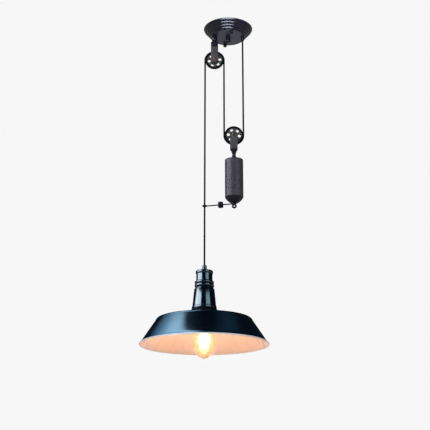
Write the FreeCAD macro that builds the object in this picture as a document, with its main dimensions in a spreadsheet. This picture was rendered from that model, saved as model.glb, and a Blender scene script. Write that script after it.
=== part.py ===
import FreeCAD, Part
import math
import os

import Sketcher
from FreeCAD import Placement, Rotation, Vector

# Rise and fall pendant. The origin is the centre of the canopy's rim on the ceiling, +Z is up,
# +X points from the lamp towards the counterweight and +Y goes through the wheels' axles.
# Every height is a distance below the ceiling, or below the part that it hangs from.

SIZES = [
    # canopy
    ("canopy_flare", 23.5, "flat plate's edge out to the rim on the ceiling"),
    ("canopy_depth", 28.0, "ceiling to the underside of the flat plate"),
    ("plate_margin", 6.5, "cord gland's middle to the flat plate's edge"),
    ("canopy_sheet", 1.0, "sheet thickness"),
    ("canopy_rolls", 4, "rolled steps between rim and plate"),
    ("roll_bulge", 1.8, "how far a rolled step stands out of the cone"),
    ("hole_clearance", 0.1, "radial room round a thread in a plain hole"),
    ("thread_gap", 0.02, "radial room between a thread and its nut"),
    # crossbar, studs and nuts
    ("crossbar_length", 106.0, "length of the bar on the ceiling"),
    ("crossbar_width", 20.0, "width of the bar"),
    ("crossbar_thickness", 2.5, "thickness of the bar"),
    ("screw_hole_spread", 30.0, "centre to a ceiling screw's hole"),
    ("screw_hole_radius", 2.6, "radius of a ceiling screw's hole"),
    ("stud_spread", 43.0, "centre to a canopy stud"),
    ("stud_turn", 12.0, "degrees that the bar is turned off the axles' direction"),
    ("stud_radius", 3.0, "radius of the studs"),
    ("stud_reach", 6.5, "stud length below the plate"),
    ("knurled_radius", 5.5, "radius of a knurled nut"),
    ("knurled_height", 9.0, "height of a knurled nut"),
    ("knurled_chamfer", 1.0, "chamfer of a knurled nut"),
    ("finial_radius", 7.0, "radius of the rounded finial"),
    ("finial_height", 16.0, "height of the finial"),
    ("finial_dome", 5.5, "height of the finial's dome"),
    ("finial_swell", 2.0, "swell of the finial's dome"),
    # terminal block
    ("block_length", 30.0, "length of the terminal block"),
    ("block_width", 14.0, "width of the terminal block"),
    ("block_height", 11.0, "height of the terminal block"),
    ("block_offset", 11.0, "crossbar's middle to the block's middle"),
    ("pole_pitch", 9.0, "distance between two terminals"),
    ("wire_hole_radius", 1.7, "radius of a terminal's wire hole"),
    ("terminal_screw_radius", 1.5, "radius of a terminal screw"),
    ("terminal_screw_length", 3.5, "length of a terminal screw"),
    # cord and wheels
    ("cord_radius", 2.5, "radius of the round cord"),
    ("cord_gap", 0.05, "radial room round the cord in a gland"),
    ("core_radius", 0.8, "radius of one insulated core"),
    ("core_spread", 1.62, "distance between two cores in the sheath"),
    ("core_entry", 1.0, "straight part of a core before its terminal"),
    ("tail_bend", 15.0, "bend radius of the cord inside the canopy"),
    ("line_shift", 1.25, "canopy's middle to halfway between hanger and cord gland"),
    ("pitch_radius", 28.5, "wheel's axis to the cord's middle"),
    ("groove_gap", 0.3, "room between cord and groove"),
    ("wheel_inset", 1.0, "wheel's edge inside the cord's middle"),
    ("rim_thickness", 4.8, "wheel's edge to the inside of its rim"),
    ("rim_width", 10.0, "width of the wheel's rim"),
    ("web_thickness", 5.0, "thickness of the wheel's web"),
    ("hub_radius", 7.5, "outer radius of the hub"),
    ("hub_length", 12.0, "length of the hub"),
    ("wheel_hole_count", 6, "round holes in the web"),
    ("wheel_hole_radius", 4.65, "radius of a hole in the web"),
    ("hole_margin", 1.75, "web left between a hole and the rim"),
    ("upper_wheel_turn", 9.0, "degrees from level to the upper wheel's first hole"),
    ("lower_wheel_turn", 52.0, "degrees from level to the lower wheel's first hole"),
    ("bush_radius", 4.5, "outer radius of the wheel's bush"),
    ("press_gap", 0.01, "radial room of a pressed-in bush"),
    ("axle_radius", 3.0, "radius of an axle"),
    ("running_gap", 0.03, "radial room between bush and axle"),
    ("axle_head_radius", 4.5, "radius of an axle's end"),
    ("axle_head_thickness", 2.0, "thickness of an axle's end"),
    ("spacer_radius", 5.5, "radius of a spacer washer"),
    ("spacer_play", 0.1, "room between hub and spacer"),
    ("upper_axle_drop", 105.0, "ceiling to the upper axle"),
    ("lower_axle_drop", 350.0, "ceiling to the lower axle"),
    # yokes
    ("strap_width", 22.0, "width of a yoke's strap"),
    ("strap_thickness", 2.5, "thickness of a yoke's strap"),
    ("strap_flat", 0.02, "flat that is left on a strap's rounded end"),
    ("yoke_gap", 16.0, "room between a yoke's two sides"),
    ("upper_yoke_rise", 62.0, "upper axle to the top of its yoke"),
    ("lower_yoke_reach", 46.0, "lower axle to the underside of its yoke"),
    ("lower_yoke_corner", 4.5, "outer bend radius of the lower yoke"),
    # hanger
    ("hanger_thread_radius", 5.0, "radius of the hanger's thread"),
    ("hanger_thread_length", 12.0, "hanger's thread above the plate's underside"),
    ("barrel_radius", 8.0, "end radius of the hanger's barrel"),
    ("barrel_bulge", 1.1, "how far the barrel swells"),
    ("barrel_length", 12.5, "length of the hanger's barrel"),
    ("hanger_neck_radius", 4.0, "radius of the hanger below the barrel"),
    ("hanger_head_radius", 5.0, "radius of the hanger's riveted head"),
    ("hanger_head_drop", 4.3, "yoke's top to the riveted head"),
    ("hanger_head_thickness", 2.5, "thickness of the riveted head"),
    ("hanger_nut_flats", 14.0, "across the flats of the hanger's nut"),
    ("hanger_nut_thickness", 5.0, "thickness of the hanger's nut"),
    ("hanger_washer_radius", 8.0, "radius of the hanger's washer"),
    ("hanger_washer_thickness", 1.5, "thickness of the hanger's washer"),
    # cord gland in the canopy
    ("gland_radius", 5.8, "radius of the gland's collar"),
    ("gland_collar", 5.0, "height of the gland's collar"),
    ("gland_nose_radius", 4.2, "radius of the gland's lower end"),
    ("gland_nose", 5.0, "height of the gland's tapered nose"),
    ("gland_thread_radius", 4.0, "radius of the gland's thread"),
    ("gland_thread_length", 5.0, "gland's thread above the plate's underside"),
    ("gland_nut_flats", 11.0, "across the flats of the gland's nut"),
    ("gland_nut_thickness", 3.0, "thickness of the gland's nut"),
    # counterweight
    ("neck_rivet_radius", 6.0, "radius of the neck's riveted head"),
    ("neck_rivet_thickness", 2.5, "thickness of the neck's riveted head"),
    ("neck_shank_radius", 4.0, "radius of the neck in the yoke"),
    ("neck_top_radius", 9.8, "radius of the neck under the yoke"),
    ("waist_radius", 5.0, "radius of the neck's waist"),
    ("waist_drop", 15.0, "yoke's underside to the waist"),
    ("neck_foot_radius", 12.5, "radius of the neck on the weight"),
    ("neck_length", 32.0, "yoke's underside to the weight"),
    ("neck_bulge", 1.6, "hollow of the neck's lower curve"),
    ("neck_thread_radius", 5.0, "radius of the neck's thread"),
    ("neck_thread_length", 20.0, "length of the neck's thread"),
    ("bore_spare", 1.0, "spare depth of a blind bore"),
    ("weight_radius", 26.75, "radius of the weight"),
    ("weight_length", 116.0, "length of the weight's straight part"),
    ("weight_chamfer", 1.2, "chamfer of the weight's upper edge"),
    ("cone_length", 16.0, "height of the weight's cone"),
    ("cone_foot_radius", 12.0, "radius at the cone's foot"),
    ("cone_bulge", 1.2, "swell of the cone"),
    ("eye_shank_radius", 4.0, "radius of the eye's thread"),
    ("eye_shank_length", 22.0, "length of the eye's thread"),
    ("eye_collar_radius", 5.5, "radius of the eye's collar"),
    ("eye_collar_length", 6.5, "length of the eye's collar"),
    ("eye_drop", 9.7, "cone's foot to the middle of the eye"),
    ("eye_outer_radius", 7.3, "outer radius of the eye"),
    ("eye_hole_radius", 2.5, "radius of the eye's hole"),
    ("eye_thickness", 4.8, "thickness of the eye"),
    ("eye_bulge", 1.4, "how round the eye's rim is"),
    # guide arm
    ("arm_drop", 3.0, "cone's foot to the arm's root"),
    ("arm_slope", 5.0, "degrees that the arm falls towards the lamp's cord"),
    ("arm_rod_radius", 1.8, "radius of the arm's rods"),
    ("coupler_distance", 34.0, "arm's root to the coupler's middle"),
    ("coupler_radius", 9.5, "radius of the coupler"),
    ("coupler_length", 15.0, "length of the coupler"),
    ("coupler_chamfer", 3.0, "chamfer of the coupler"),
    ("rod_end_gap", 1.0, "room between the rods in the coupler"),
    ("grub_radius", 1.5, "radius of a grub screw"),
    ("grub_spread", 4.0, "coupler's middle to a grub screw"),
    ("grub_sunk", 1.0, "how deep a grub screw sits"),
    ("arm_seat", 3.0, "arm's end in the eye's collar"),
    ("loop_radius", 5.6, "radius of the loop's middle line"),
    ("loop_rod_radius", 2.0, "radius of the loop's rod"),
    # lamp housing
    ("lamp_drop", 762.0, "ceiling to the top of the lamp's housing"),
    ("grip_radius", 7.0, "radius of the cord grip"),
    ("grip_length", 16.0, "height of the cord grip"),
    ("grip_chamfer", 2.0, "chamfer of the cord grip"),
    ("nipple_radius", 5.0, "radius of the threaded nipple"),
    ("nipple_bore_radius", 2.7, "bore of the threaded nipple"),
    ("nipple_engagement", 10.0, "nipple inside the cord grip"),
    ("nipple_overhang", 4.0, "nipple below the lampholder's cap"),
    ("housing_radius", 22.8, "radius of the housing's straight band"),
    ("housing_wall", 1.2, "wall of the housing"),
    ("bead_inset", 1.5, "how far the top edge lies inside the band"),
    ("bead_height", 8.5, "height of the top bead"),
    ("bead_bulge", 3.2, "swell of the top bead"),
    ("band_height", 21.5, "height of the straight band"),
    ("twin_height", 8.0, "height of each twin bead"),
    ("twin_waist_radius", 26.3, "radius between the twin beads"),
    ("upper_twin_bulge", 2.9, "swell of the upper twin bead"),
    ("lower_twin_bulge", 2.1, "swell of the lower twin bead"),
    ("groove_radius", 25.3, "radius of the groove under the beads"),
    ("groove_height", 2.8, "height of that groove"),
    ("step_height", 4.7, "height of the step down to the cone"),
    ("cone_top_radius", 28.4, "upper radius of the housing's cone"),
    ("cone_bottom_radius", 33.4, "lower radius of the housing's cone"),
    ("cone_height", 47.0, "height of the housing's cone"),
    ("ridge_height", 6.0, "height of the ridge"),
    ("ridge_bulge", 1.4, "swell of the ridge"),
    ("ridge_foot_radius", 34.4, "radius under the ridge"),
    ("flare_radius", 46.0, "radius of the flare on the shade"),
    ("flare_height", 14.0, "height of the flare"),
    ("flare_bulge", 1.4, "hollow of the flare"),
    # lampholder
    ("holder_drop", 70.0, "housing's top to the lampholder's cap"),
    ("holder_radius", 20.0, "radius of the lampholder's cap"),
    ("holder_wall", 1.8, "wall of the lampholder"),
    ("cap_round", 7.0, "height of the cap's rounded top"),
    ("cap_swell", 1.75, "swell of the cap's rounded top"),
    ("cap_flat_radius", 14.0, "radius of the cap's flat top"),
    ("cap_height", 34.0, "height of the lampholder's cap"),
    ("skirt_collar_radius", 23.0, "radius of the skirt's collar on the shade"),
    ("skirt_thread_radius", 19.8, "radius of the skirt's thread"),
    ("skirt_depth", 16.0, "skirt below the shade's top"),
    ("inner_top_drop", 10.0, "cap's top to the insulating inner"),
    ("inner_depth", 12.0, "insulating ring's foot below the shade's top"),
    ("inner_gap", 0.2, "room between the skirt and the insulating inner"),
    ("shell_radius", 14.2, "outer radius of the thread shell"),
    ("shell_wall", 0.5, "wall of the thread shell"),
    ("shell_depth", 10.0, "thread shell below the shade's top"),
    ("contact_radius", 4.0, "radius of the centre contact"),
    ("contact_height", 2.5, "height of the centre contact"),
    ("holder_screw_radius", 2.0, "radius of a lampholder screw"),
    ("holder_screw_length", 3.0, "length of a lampholder screw"),
    ("holder_screw_spread", 10.5, "lamp's axis to a lampholder screw"),
    ("ring_radius", 29.0, "radius of the shade ring"),
    ("ring_height", 7.5, "height of the shade ring"),
    ("ring_groove", 1.2, "depth of the grip groove in the shade ring"),
    # shade
    ("shade_sheet", 0.7, "sheet thickness of the shade"),
    ("shade_flat_margin", 1.0, "shade's flat top past the housing's flare"),
    ("dome_radius", 126.0, "radius where the top ends"),
    ("dome_drop", 16.3, "fall of the top"),
    ("dome_bulge", 0.5, "swell of the top"),
    ("shoulder_run", 9.2, "how far the rounded shoulder runs outwards"),
    ("shoulder_drop", 7.7, "fall of the rounded shoulder"),
    ("shoulder_bulge", 1.9, "swell of the rounded shoulder"),
    ("side_run", 33.1, "how far the side runs outwards"),
    ("side_drop", 49.9, "fall of the side"),
    ("lip_run", 10.9, "how far the lip runs outwards"),
    ("lip_drop", 14.2, "fall of the lip"),
    ("lip_bulge", 0.7, "hollow of the lip"),
    ("edge_inset", 1.3, "how far the rolled edge turns back inwards"),
    ("edge_drop", 1.7, "fall of the rolled edge"),
    ("edge_bulge", 1.4, "swell of the rolled edge"),
    # bulb
    ("bulb_top_drop", 110.0, "housing's top to the bulb's contact"),
    ("bulb_contact_radius", 4.8, "radius of the bulb's contact"),
    ("bulb_contact_taper", 1.0, "how much narrower the contact is at its top"),
    ("bulb_contact_height", 2.0, "height of the bulb's contact"),
    ("cap_cone_height", 5.0, "height of the bulb cap's cone"),
    ("bulb_cap_radius", 13.2, "radius of the bulb's cap"),
    ("bulb_cap_length", 20.0, "length of the bulb cap's thread"),
    ("bulb_cap_wall", 0.4, "wall of the bulb's cap"),
    ("glass_wall", 0.8, "wall of the bulb's glass"),
    ("glass_seat", 8.0, "glass inside the cap"),
    ("glass_neck_radius", 12.6, "radius of the glass in the cap"),
    ("glass_middle_radius", 20.0, "radius of the glass at its middle"),
    ("glass_middle_drop", 26.0, "cap's foot to the glass's middle"),
    ("glass_radius", 32.0, "largest radius of the glass"),
    ("glass_wide_drop", 81.0, "cap's foot to the widest place"),
    ("glass_hollow", 0.9, "hollow of the glass below its neck"),
    ("glass_swell", 3.2, "swell of the glass above its widest place"),
    ("glass_tip_drop", 32.0, "widest place to the glass's tip"),
    ("glass_tip_swell", 5.2, "swell of the glass between its widest place and its tip"),
    ("stem_radius", 9.0, "radius of the stem's flare"),
    ("stem_waist", 3.6, "radius of the stem"),
    ("stem_flare", 10.0, "height of the stem's flare"),
    ("stem_length", 38.0, "length of the stem"),
    ("stem_rod_radius", 1.4, "radius of the stem's rod"),
    ("stem_rod_length", 54.0, "length of the stem's rod"),
    ("support_radius", 0.35, "radius of a support wire"),
    ("support_inset", 3.0, "rod's end to the support wires"),
    ("filament_count", 8, "filament strands"),
    ("filament_radius", 0.6, "radius of a filament strand"),
    ("cage_top_radius", 5.5, "upper radius of the filament cage"),
    ("cage_bottom_radius", 10.0, "lower radius of the filament cage"),
]

FULL_TURN = 360
HALF_TURN = 180
HEXAGON_SIDES = 6
NEAR = 1e-4


class Size:
    # A length that knows both its value and the sheet's expression for it.

    def __init__(self, value, text):
        self.value = value
        self.text = text

    def __add__(self, other):
        other = as_size(other)
        return Size(self.value + other.value, f"({self.text} + {other.text})")

    def __sub__(self, other):
        other = as_size(other)
        return Size(self.value - other.value, f"({self.text} - {other.text})")

    def __mul__(self, other):
        other = as_size(other)
        return Size(self.value * other.value, f"({self.text} * {other.text})")

    def __truediv__(self, other):
        other = as_size(other)
        return Size(self.value / other.value, f"({self.text} / {other.text})")

    def __neg__(self):
        return Size(-self.value, f"(0 - {self.text})")

    def root(self):
        return Size(math.sqrt(self.value), f"sqrt({self.text})")

    def sine(self):
        return Size(math.sin(math.radians(self.value)), f"sin({self.text})")

    def cosine(self):
        return Size(math.cos(math.radians(self.value)), f"cos({self.text})")


def as_size(number):
    return number if isinstance(number, Size) else Size(float(number), repr(float(number)))


class Sheet:
    # The driving dimensions, read as attributes.

    def __init__(self, document):
        self.cells = document.addObject("Spreadsheet::Sheet", "sizes")
        for row, (alias, value, meaning) in enumerate(SIZES, 1):
            self.cells.set(f"A{row}", alias)
            self.cells.set(f"B{row}", str(value))
            self.cells.set(f"C{row}", meaning)
            self.cells.setAlias(f"B{row}", alias)
        document.recompute()

    def __getattr__(self, alias):
        return Size(float(self.cells.get(alias)), f"sizes.{alias}")


doc = FreeCAD.newDocument("rise_and_fall_pendant")
s = Sheet(doc)
sub_parts = []

# shared places

level = as_size(0)
quarter_turn = as_size(90)
quarter_bulge = as_size(1 - math.sqrt(1 / 2))
screw_column = s.block_width / 4
canopy_plate = -s.canopy_depth
plate_inside = canopy_plate + s.canopy_sheet
lamp_x = s.line_shift - s.pitch_radius * 5 / 2
upper_wheel_x = lamp_x + s.pitch_radius
middle_cord_x = upper_wheel_x + s.pitch_radius
lower_wheel_x = middle_cord_x + s.pitch_radius
canopy_cord_x = lower_wheel_x + s.pitch_radius
wheel_edge = s.pitch_radius - s.wheel_inset
rim_inside = wheel_edge - s.rim_thickness
hole_circle = rim_inside - s.hole_margin - s.wheel_hole_radius
plate_edge = canopy_cord_x + s.plate_margin
canopy_edge = plate_edge + s.canopy_flare
upper_axle_z = -s.upper_axle_drop
lower_axle_z = -s.lower_axle_drop
yoke_top = upper_axle_z + s.upper_yoke_rise
yoke_foot = lower_axle_z - s.lower_yoke_reach
weight_top = yoke_foot - s.neck_length
weight_foot = weight_top - s.weight_length
cone_foot = weight_foot - s.cone_length
gland_foot = canopy_plate - s.gland_collar - s.gland_nose
housing_top = -s.lamp_drop
grip_top = housing_top + s.grip_length
bead_foot = housing_top - s.bead_height
band_foot = bead_foot - s.band_height
twin_waist = band_foot - s.twin_height
twin_foot = twin_waist - s.twin_height
groove_foot = twin_foot - s.groove_height
cone_top = groove_foot - s.step_height
cone_end = cone_top - s.cone_height
ridge_foot = cone_end - s.ridge_height
shade_top = ridge_foot - s.flare_height
cap_top = housing_top - s.holder_drop
cap_foot = cap_top - s.cap_height
bulb_top = housing_top - s.bulb_top_drop
bulb_cap_top = bulb_top - s.bulb_contact_height
bulb_cap_foot = bulb_cap_top - s.cap_cone_height - s.bulb_cap_length
half_gap = s.yoke_gap / 2
half_strap = s.strap_width / 2


# general tools

def place(item, x=level, y=level, z=level, axis=Vector(0, 0, 1), angle=level):
    item.Placement = Placement(Vector(x.value, y.value, z.value), Rotation(axis, angle.value))
    for letter, size in (("x", x), ("y", y), ("z", z)):
        item.setExpression(f"Placement.Base.{letter}", size.text)
    if angle.value:
        item.setExpression("Placement.Rotation.Angle", f"{angle.text} * 1 deg")
    return item


def finished(item):
    sub_parts.append(item)
    return item


def new_body(name):
    return doc.addObject("PartDesign::Body", name)


def new_sketch(body, name, role):
    sketch = body.newObject("Sketcher::SketchObject", name)
    plane = next(item for item in body.Origin.OriginFeatures if item.Role == role)
    sketch.AttachmentSupport = [(plane, "")]
    sketch.MapMode = "FlatFace"
    return sketch


def fix(sketch, kind, index, point, size):
    constraint = sketch.addConstraint(Sketcher.Constraint(kind, index, point, size.value))
    if "sizes." in size.text:
        sketch.setExpression(f"Constraints[{constraint}]", size.text)


def add_arc(sketch, start, end, bulge):
    # An arc whose middle stands `bulge` to the left of the way from start to end.
    dx = end[0] - start[0]
    dy = end[1] - start[1]
    chord_squared = dx * dx + dy * dy
    share = (bulge * bulge * 4 - chord_squared) / (bulge * 8) / chord_squared.root()
    centre_x = (start[0] + end[0]) / 2 - dy * share
    centre_y = (start[1] + end[1]) / 2 + dx * share
    centre = Vector(centre_x.value, centre_y.value, 0)
    first = Vector(start[0].value, start[1].value, 0)
    last = Vector(end[0].value, end[1].value, 0)
    circle = Part.Circle(centre, Vector(0, 0, 1), (first - centre).Length)
    from_point, to_point = (last, first) if bulge.value > 0 else (first, last)
    index = sketch.addGeometry(Part.ArcOfCircle(circle, circle.parameter(from_point),
                                                circle.parameter(to_point)), False)
    if abs(dy.value) > abs(dx.value):
        fix(sketch, "DistanceX", index, 3, centre_x)
    else:
        fix(sketch, "DistanceY", index, 3, centre_y)
    start_point = 2 if bulge.value > 0 else 1
    return index, start_point, 3 - start_point


def add_line(sketch, start, end):
    first = Vector(start[0].value, start[1].value, 0)
    last = Vector(end[0].value, end[1].value, 0)
    return sketch.addGeometry(Part.LineSegment(first, last), False), 1, 2


def draw(sketch, corners):
    # A closed outline: (x, y) starts a straight side, (x, y, bulge) starts an arc.
    corners = [tuple(as_size(value) for value in corner) for corner in corners]
    sides = []
    for start, end in zip(corners, corners[1:] + corners[:1]):
        if len(start) == 3:
            sides.append(add_arc(sketch, start, end, start[2]))
        else:
            sides.append(add_line(sketch, start, end))
    for (index, first, last), (next_index, next_first, _) in zip(sides, sides[1:] + sides[:1]):
        sketch.addConstraint(Sketcher.Constraint("Coincident", index, last, next_index, next_first))
    for (index, first, last), corner in zip(sides, corners):
        fix(sketch, "DistanceX", index, first, corner[0])
        fix(sketch, "DistanceY", index, first, corner[1])
    return sketch


def draw_circle(sketch, x, y, radius):
    x, y = as_size(x), as_size(y)
    circle = Part.Circle(Vector(x.value, y.value, 0), Vector(0, 0, 1), radius.value)
    index = sketch.addGeometry(circle, False)
    fix(sketch, "DistanceX", index, 3, x)
    fix(sketch, "DistanceY", index, 3, y)
    constraint = sketch.addConstraint(Sketcher.Constraint("Radius", index, radius.value))
    sketch.setExpression(f"Constraints[{constraint}]", radius.text)


def turn(body, name, corners):
    # A solid of revolution about Z: x is the radius, y is the height.
    sketch = draw(new_sketch(body, f"{name}_outline", "XZ_Plane"), corners)
    feature = body.newObject("PartDesign::Revolution", f"{name}_turned")
    feature.Profile = sketch
    feature.ReferenceAxis = (sketch, ["V_Axis"])
    feature.Angle = FULL_TURN
    doc.recompute()
    return feature


def turned_piece(name, corners, **where):
    body = new_body(name)
    turn(body, name, corners)
    return finished(place(body, **where))


def pad(body, name, role, corners, length):
    sketch = draw(new_sketch(body, f"{name}_outline", role), corners)
    feature = body.newObject("PartDesign::Pad", f"{name}_pad")
    feature.Profile = sketch
    feature.SideType = "Symmetric"
    feature.setExpression("Length", length.text)
    doc.recompute()
    return feature


def cut_through(body, name, sketch):
    # Cuts a sketch right through the body, both ways from its plane.
    before = body.Shape.Volume
    feature = body.newObject("PartDesign::Pocket", f"{name}_cut")
    feature.Profile = sketch
    feature.Type = "ThroughAll"
    feature.SideType = "Symmetric"
    doc.recompute()
    if body.Shape.Volume >= before:
        raise ValueError(f"{name} cuts nothing")
    return feature


def round_holes(body, name, role, circles):
    sketch = new_sketch(body, f"{name}_holes", role)
    for x, y, radius in circles:
        draw_circle(sketch, x, y, radius)
    return cut_through(body, name, sketch)


def cylinder(name, radius, length, **where):
    item = doc.addObject("Part::Cylinder", name)
    item.setExpression("Radius", radius.text)
    item.setExpression("Height", length.text)
    return place(item, **where)


def torus(name, radius, tube, sweep=FULL_TURN, **where):
    item = doc.addObject("Part::Torus", name)
    item.setExpression("Radius1", radius.text)
    item.setExpression("Radius2", tube.text)
    item.Angle3 = sweep
    return place(item, **where)


def joined(name, pieces):
    item = doc.addObject("Part::MultiFuse", name)
    item.Shapes = pieces
    return item


def group(name, pieces):
    item = doc.addObject("Part::Compound", name)
    item.Links = pieces
    return finished(item)


def ring(name, outer, inner, foot, top, **where):
    return turned_piece(name, [(inner, foot), (outer, foot), (outer, top), (inner, top)], **where)


def hex_nut(name, flats, bore, thickness, **where):
    prism = doc.addObject("Part::Prism", f"{name}_blank")
    prism.Polygon = HEXAGON_SIDES
    corner_radius = flats / as_size(3).root()
    prism.setExpression("Circumradius", corner_radius.text)
    prism.setExpression("Height", thickness.text)
    place(prism, angle=as_size(FULL_TURN / HEXAGON_SIDES / 2))
    nut = doc.addObject("Part::Cut", name)
    nut.Base = prism
    nut.Tool = cylinder(f"{name}_bore", bore, thickness)
    return place(nut, **where)


def tube_along(name, edges, radius):
    # A round tube along straight runs and tangent arcs; its volume is set against its length.
    path = Part.Wire(edges)
    start = edges[0].valueAt(edges[0].FirstParameter)
    way = edges[0].tangentAt(edges[0].FirstParameter)
    section = Part.Wire(Part.makeCircle(radius, start, way))
    solid = path.makePipeShell([section], True, False)
    share = solid.Volume / (math.pi * radius ** 2 * path.Length)
    print(f"{name}: length {path.Length:.1f}, volume over section times length {share:.4f}")
    item = doc.addObject("Part::Feature", name)
    item.Shape = solid
    return item


# canopy and what is fixed to it

def canopy():
    body = new_body("canopy")
    rolls = int(s.canopy_rolls.value)
    flare, depth = s.canopy_flare, s.canopy_depth
    slope = (flare * flare + depth * depth).root()
    out_x = s.canopy_sheet * depth / slope
    out_z = s.canopy_sheet * flare / slope
    creases = [(canopy_edge - flare * (index / rolls), -depth * (index / rolls))
               for index in range(rolls + 1)]
    centre_hole = s.stud_radius + s.hole_clearance
    outline = [(x, z, s.roll_bulge) for x, z in creases[:-1]]
    outline += [creases[-1], (centre_hole, canopy_plate), (centre_hole, plate_inside)]
    outline += [(plate_edge - s.canopy_sheet, plate_inside, -s.roll_bulge)]
    outline += [(x - out_x, z + out_z, -s.roll_bulge) for x, z in reversed(creases[1:-1])]
    outline += [(canopy_edge - s.canopy_sheet * slope / depth, level)]
    turn(body, "canopy", outline)
    stud_x = s.stud_spread * s.stud_turn.sine()
    stud_y = s.stud_spread * s.stud_turn.cosine()
    round_holes(body, "canopy", "XY_Plane", [
        (upper_wheel_x, level, s.hanger_thread_radius + s.hole_clearance),
        (canopy_cord_x, level, s.gland_thread_radius + s.hole_clearance),
        (stud_x, -stud_y, centre_hole),
        (-stud_x, stud_y, centre_hole)])
    return finished(body)


def ceiling_crossbar():
    body = new_body("ceiling_crossbar")
    half_width, half_length = s.crossbar_width / 2, s.crossbar_length / 2
    pad(body, "crossbar", "XY_Plane", [(-half_width, -half_length), (half_width, -half_length),
                                       (half_width, half_length), (-half_width, half_length)],
        s.crossbar_thickness)
    round_holes(body, "crossbar", "XY_Plane", [
        (level, s.screw_hole_spread * way, s.screw_hole_radius) for way in (-1, 1)])
    place(body, z=-s.crossbar_thickness / 2, angle=s.stud_turn)
    return finished(body)


def canopy_studs():
    length = s.canopy_depth - s.crossbar_thickness + s.stud_reach
    studs = []
    for side, way in (("near", -1), ("far", 1)):
        studs.append(cylinder(f"{side}_stud", s.stud_radius, length,
                              x=s.stud_spread * s.stud_turn.sine() * -way,
                              y=s.stud_spread * s.stud_turn.cosine() * way,
                              z=canopy_plate - s.stud_reach))
    group("canopy_studs", studs)
    finished(cylinder("centre_stud", s.stud_radius, length, z=canopy_plate - s.stud_reach))


def knurled_nut(name, way):
    # Blind nut: a bored, chamfered drum with its closed end down.
    body = new_body(name)
    bore, radius, cut = s.stud_radius + s.thread_gap, s.knurled_radius, s.knurled_chamfer
    foot = canopy_plate - s.knurled_height
    turn(body, name, [(level, foot), (radius - cut, foot), (radius, foot + cut),
                      (radius, canopy_plate - cut), (radius - cut, canopy_plate),
                      (bore, canopy_plate), (bore, canopy_plate - s.stud_reach - s.bore_spare),
                      (level, canopy_plate - s.stud_reach - s.bore_spare)])
    return place(body, x=s.stud_spread * s.stud_turn.sine() * -way,
                 y=s.stud_spread * s.stud_turn.cosine() * way)


def centre_finial():
    bore, radius = s.stud_radius + s.thread_gap, s.finial_radius
    foot = canopy_plate - s.finial_height
    ceiling = canopy_plate - s.stud_reach - s.bore_spare
    turned_piece("centre_finial", [(level, foot, -s.finial_swell), (radius, foot + s.finial_dome),
                                   (radius, canopy_plate), (bore, canopy_plate),
                                   (bore, ceiling), (level, ceiling)])


def terminal_block():
    body = new_body("terminal_block")
    half_width, half_length = s.block_width / 2, s.block_length / 2
    pad(body, "block", "XY_Plane", [(-half_width, -half_length), (half_width, -half_length),
                                    (half_width, half_length), (-half_width, half_length)],
        s.block_height)
    poles = [s.pole_pitch * step for step in (-1, 0, 1)]
    round_holes(body, "wire", "YZ_Plane", [(pole, level, s.wire_hole_radius) for pole in poles])
    well = s.terminal_screw_radius + s.hole_clearance
    round_holes(body, "screw", "XY_Plane", [(screw_column * side, pole, well)
                                            for pole in poles for side in (-1, 1)])
    middle_z = -s.crossbar_thickness - s.block_height / 2
    place(body, x=s.block_offset, z=middle_z)
    finished(body)
    group("terminal_screws", [
        cylinder(f"terminal_screw_{index}_{way}", s.terminal_screw_radius, s.terminal_screw_length,
                 x=s.block_offset + screw_column * side, y=pole,
                 z=middle_z - s.block_height / 2)
        for index, pole in enumerate(poles) for way, side in (("left", -1), ("right", 1))])


def hanger():
    thread, neck = s.hanger_thread_radius, s.hanger_neck_radius
    barrel_foot = canopy_plate - s.barrel_length
    head = yoke_top - s.hanger_head_drop
    foot = head - s.hanger_head_thickness
    top = canopy_plate + s.hanger_thread_length
    turned_piece("hanger_stem", [
        (level, foot), (s.hanger_head_radius, foot), (s.hanger_head_radius, head), (neck, head),
        (neck, barrel_foot), (s.barrel_radius, barrel_foot, -s.barrel_bulge),
        (s.barrel_radius, canopy_plate), (thread, canopy_plate), (thread, top), (level, top)],
        x=upper_wheel_x)
    ring("hanger_washer", s.hanger_washer_radius, thread + s.hole_clearance,
         plate_inside, plate_inside + s.hanger_washer_thickness, x=upper_wheel_x)
    finished(hex_nut("hanger_nut", s.hanger_nut_flats, thread + s.thread_gap,
                     s.hanger_nut_thickness, x=upper_wheel_x,
                     z=plate_inside + s.hanger_washer_thickness))


def cord_gland():
    bore, thread = s.cord_radius + s.cord_gap, s.gland_thread_radius
    collar_foot = canopy_plate - s.gland_collar
    top = canopy_plate + s.gland_thread_length
    turned_piece("cord_gland", [
        (bore, gland_foot), (s.gland_nose_radius, gland_foot), (s.gland_radius, collar_foot),
        (s.gland_radius, canopy_plate), (thread, canopy_plate), (thread, top), (bore, top)],
        x=canopy_cord_x)
    finished(hex_nut("gland_nut", s.gland_nut_flats, thread + s.thread_gap,
                     s.gland_nut_thickness, x=canopy_cord_x, z=plate_inside))


def canopy_cord_tail():
    # Up through the gland, one bend, and level towards the terminal block.
    x, bend = canopy_cord_x.value, s.tail_bend.value
    level_z = (-s.crossbar_thickness - s.block_height / 2).value
    foot = Vector(x, 0, gland_foot.value)
    bend_start = Vector(x, 0, level_z - bend)
    bend_end = Vector(x - bend, 0, level_z)
    diagonal = bend * math.sqrt(1 / 2)
    bend_middle = Vector(x - bend + diagonal, 0, level_z - bend + diagonal)
    radius = s.cord_radius.value
    end = bend_end - Vector(radius, 0, 0)
    print(f"canopy_cord_tail: bend radius {bend:.1f}")
    finished(tube_along("canopy_cord_tail", [Part.LineSegment(foot, bend_start).toShape(),
                                             Part.Arc(bend_start, bend_middle, bend_end).toShape(),
                                             Part.LineSegment(bend_end, end).toShape()], radius))
    core_wires(end)


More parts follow.
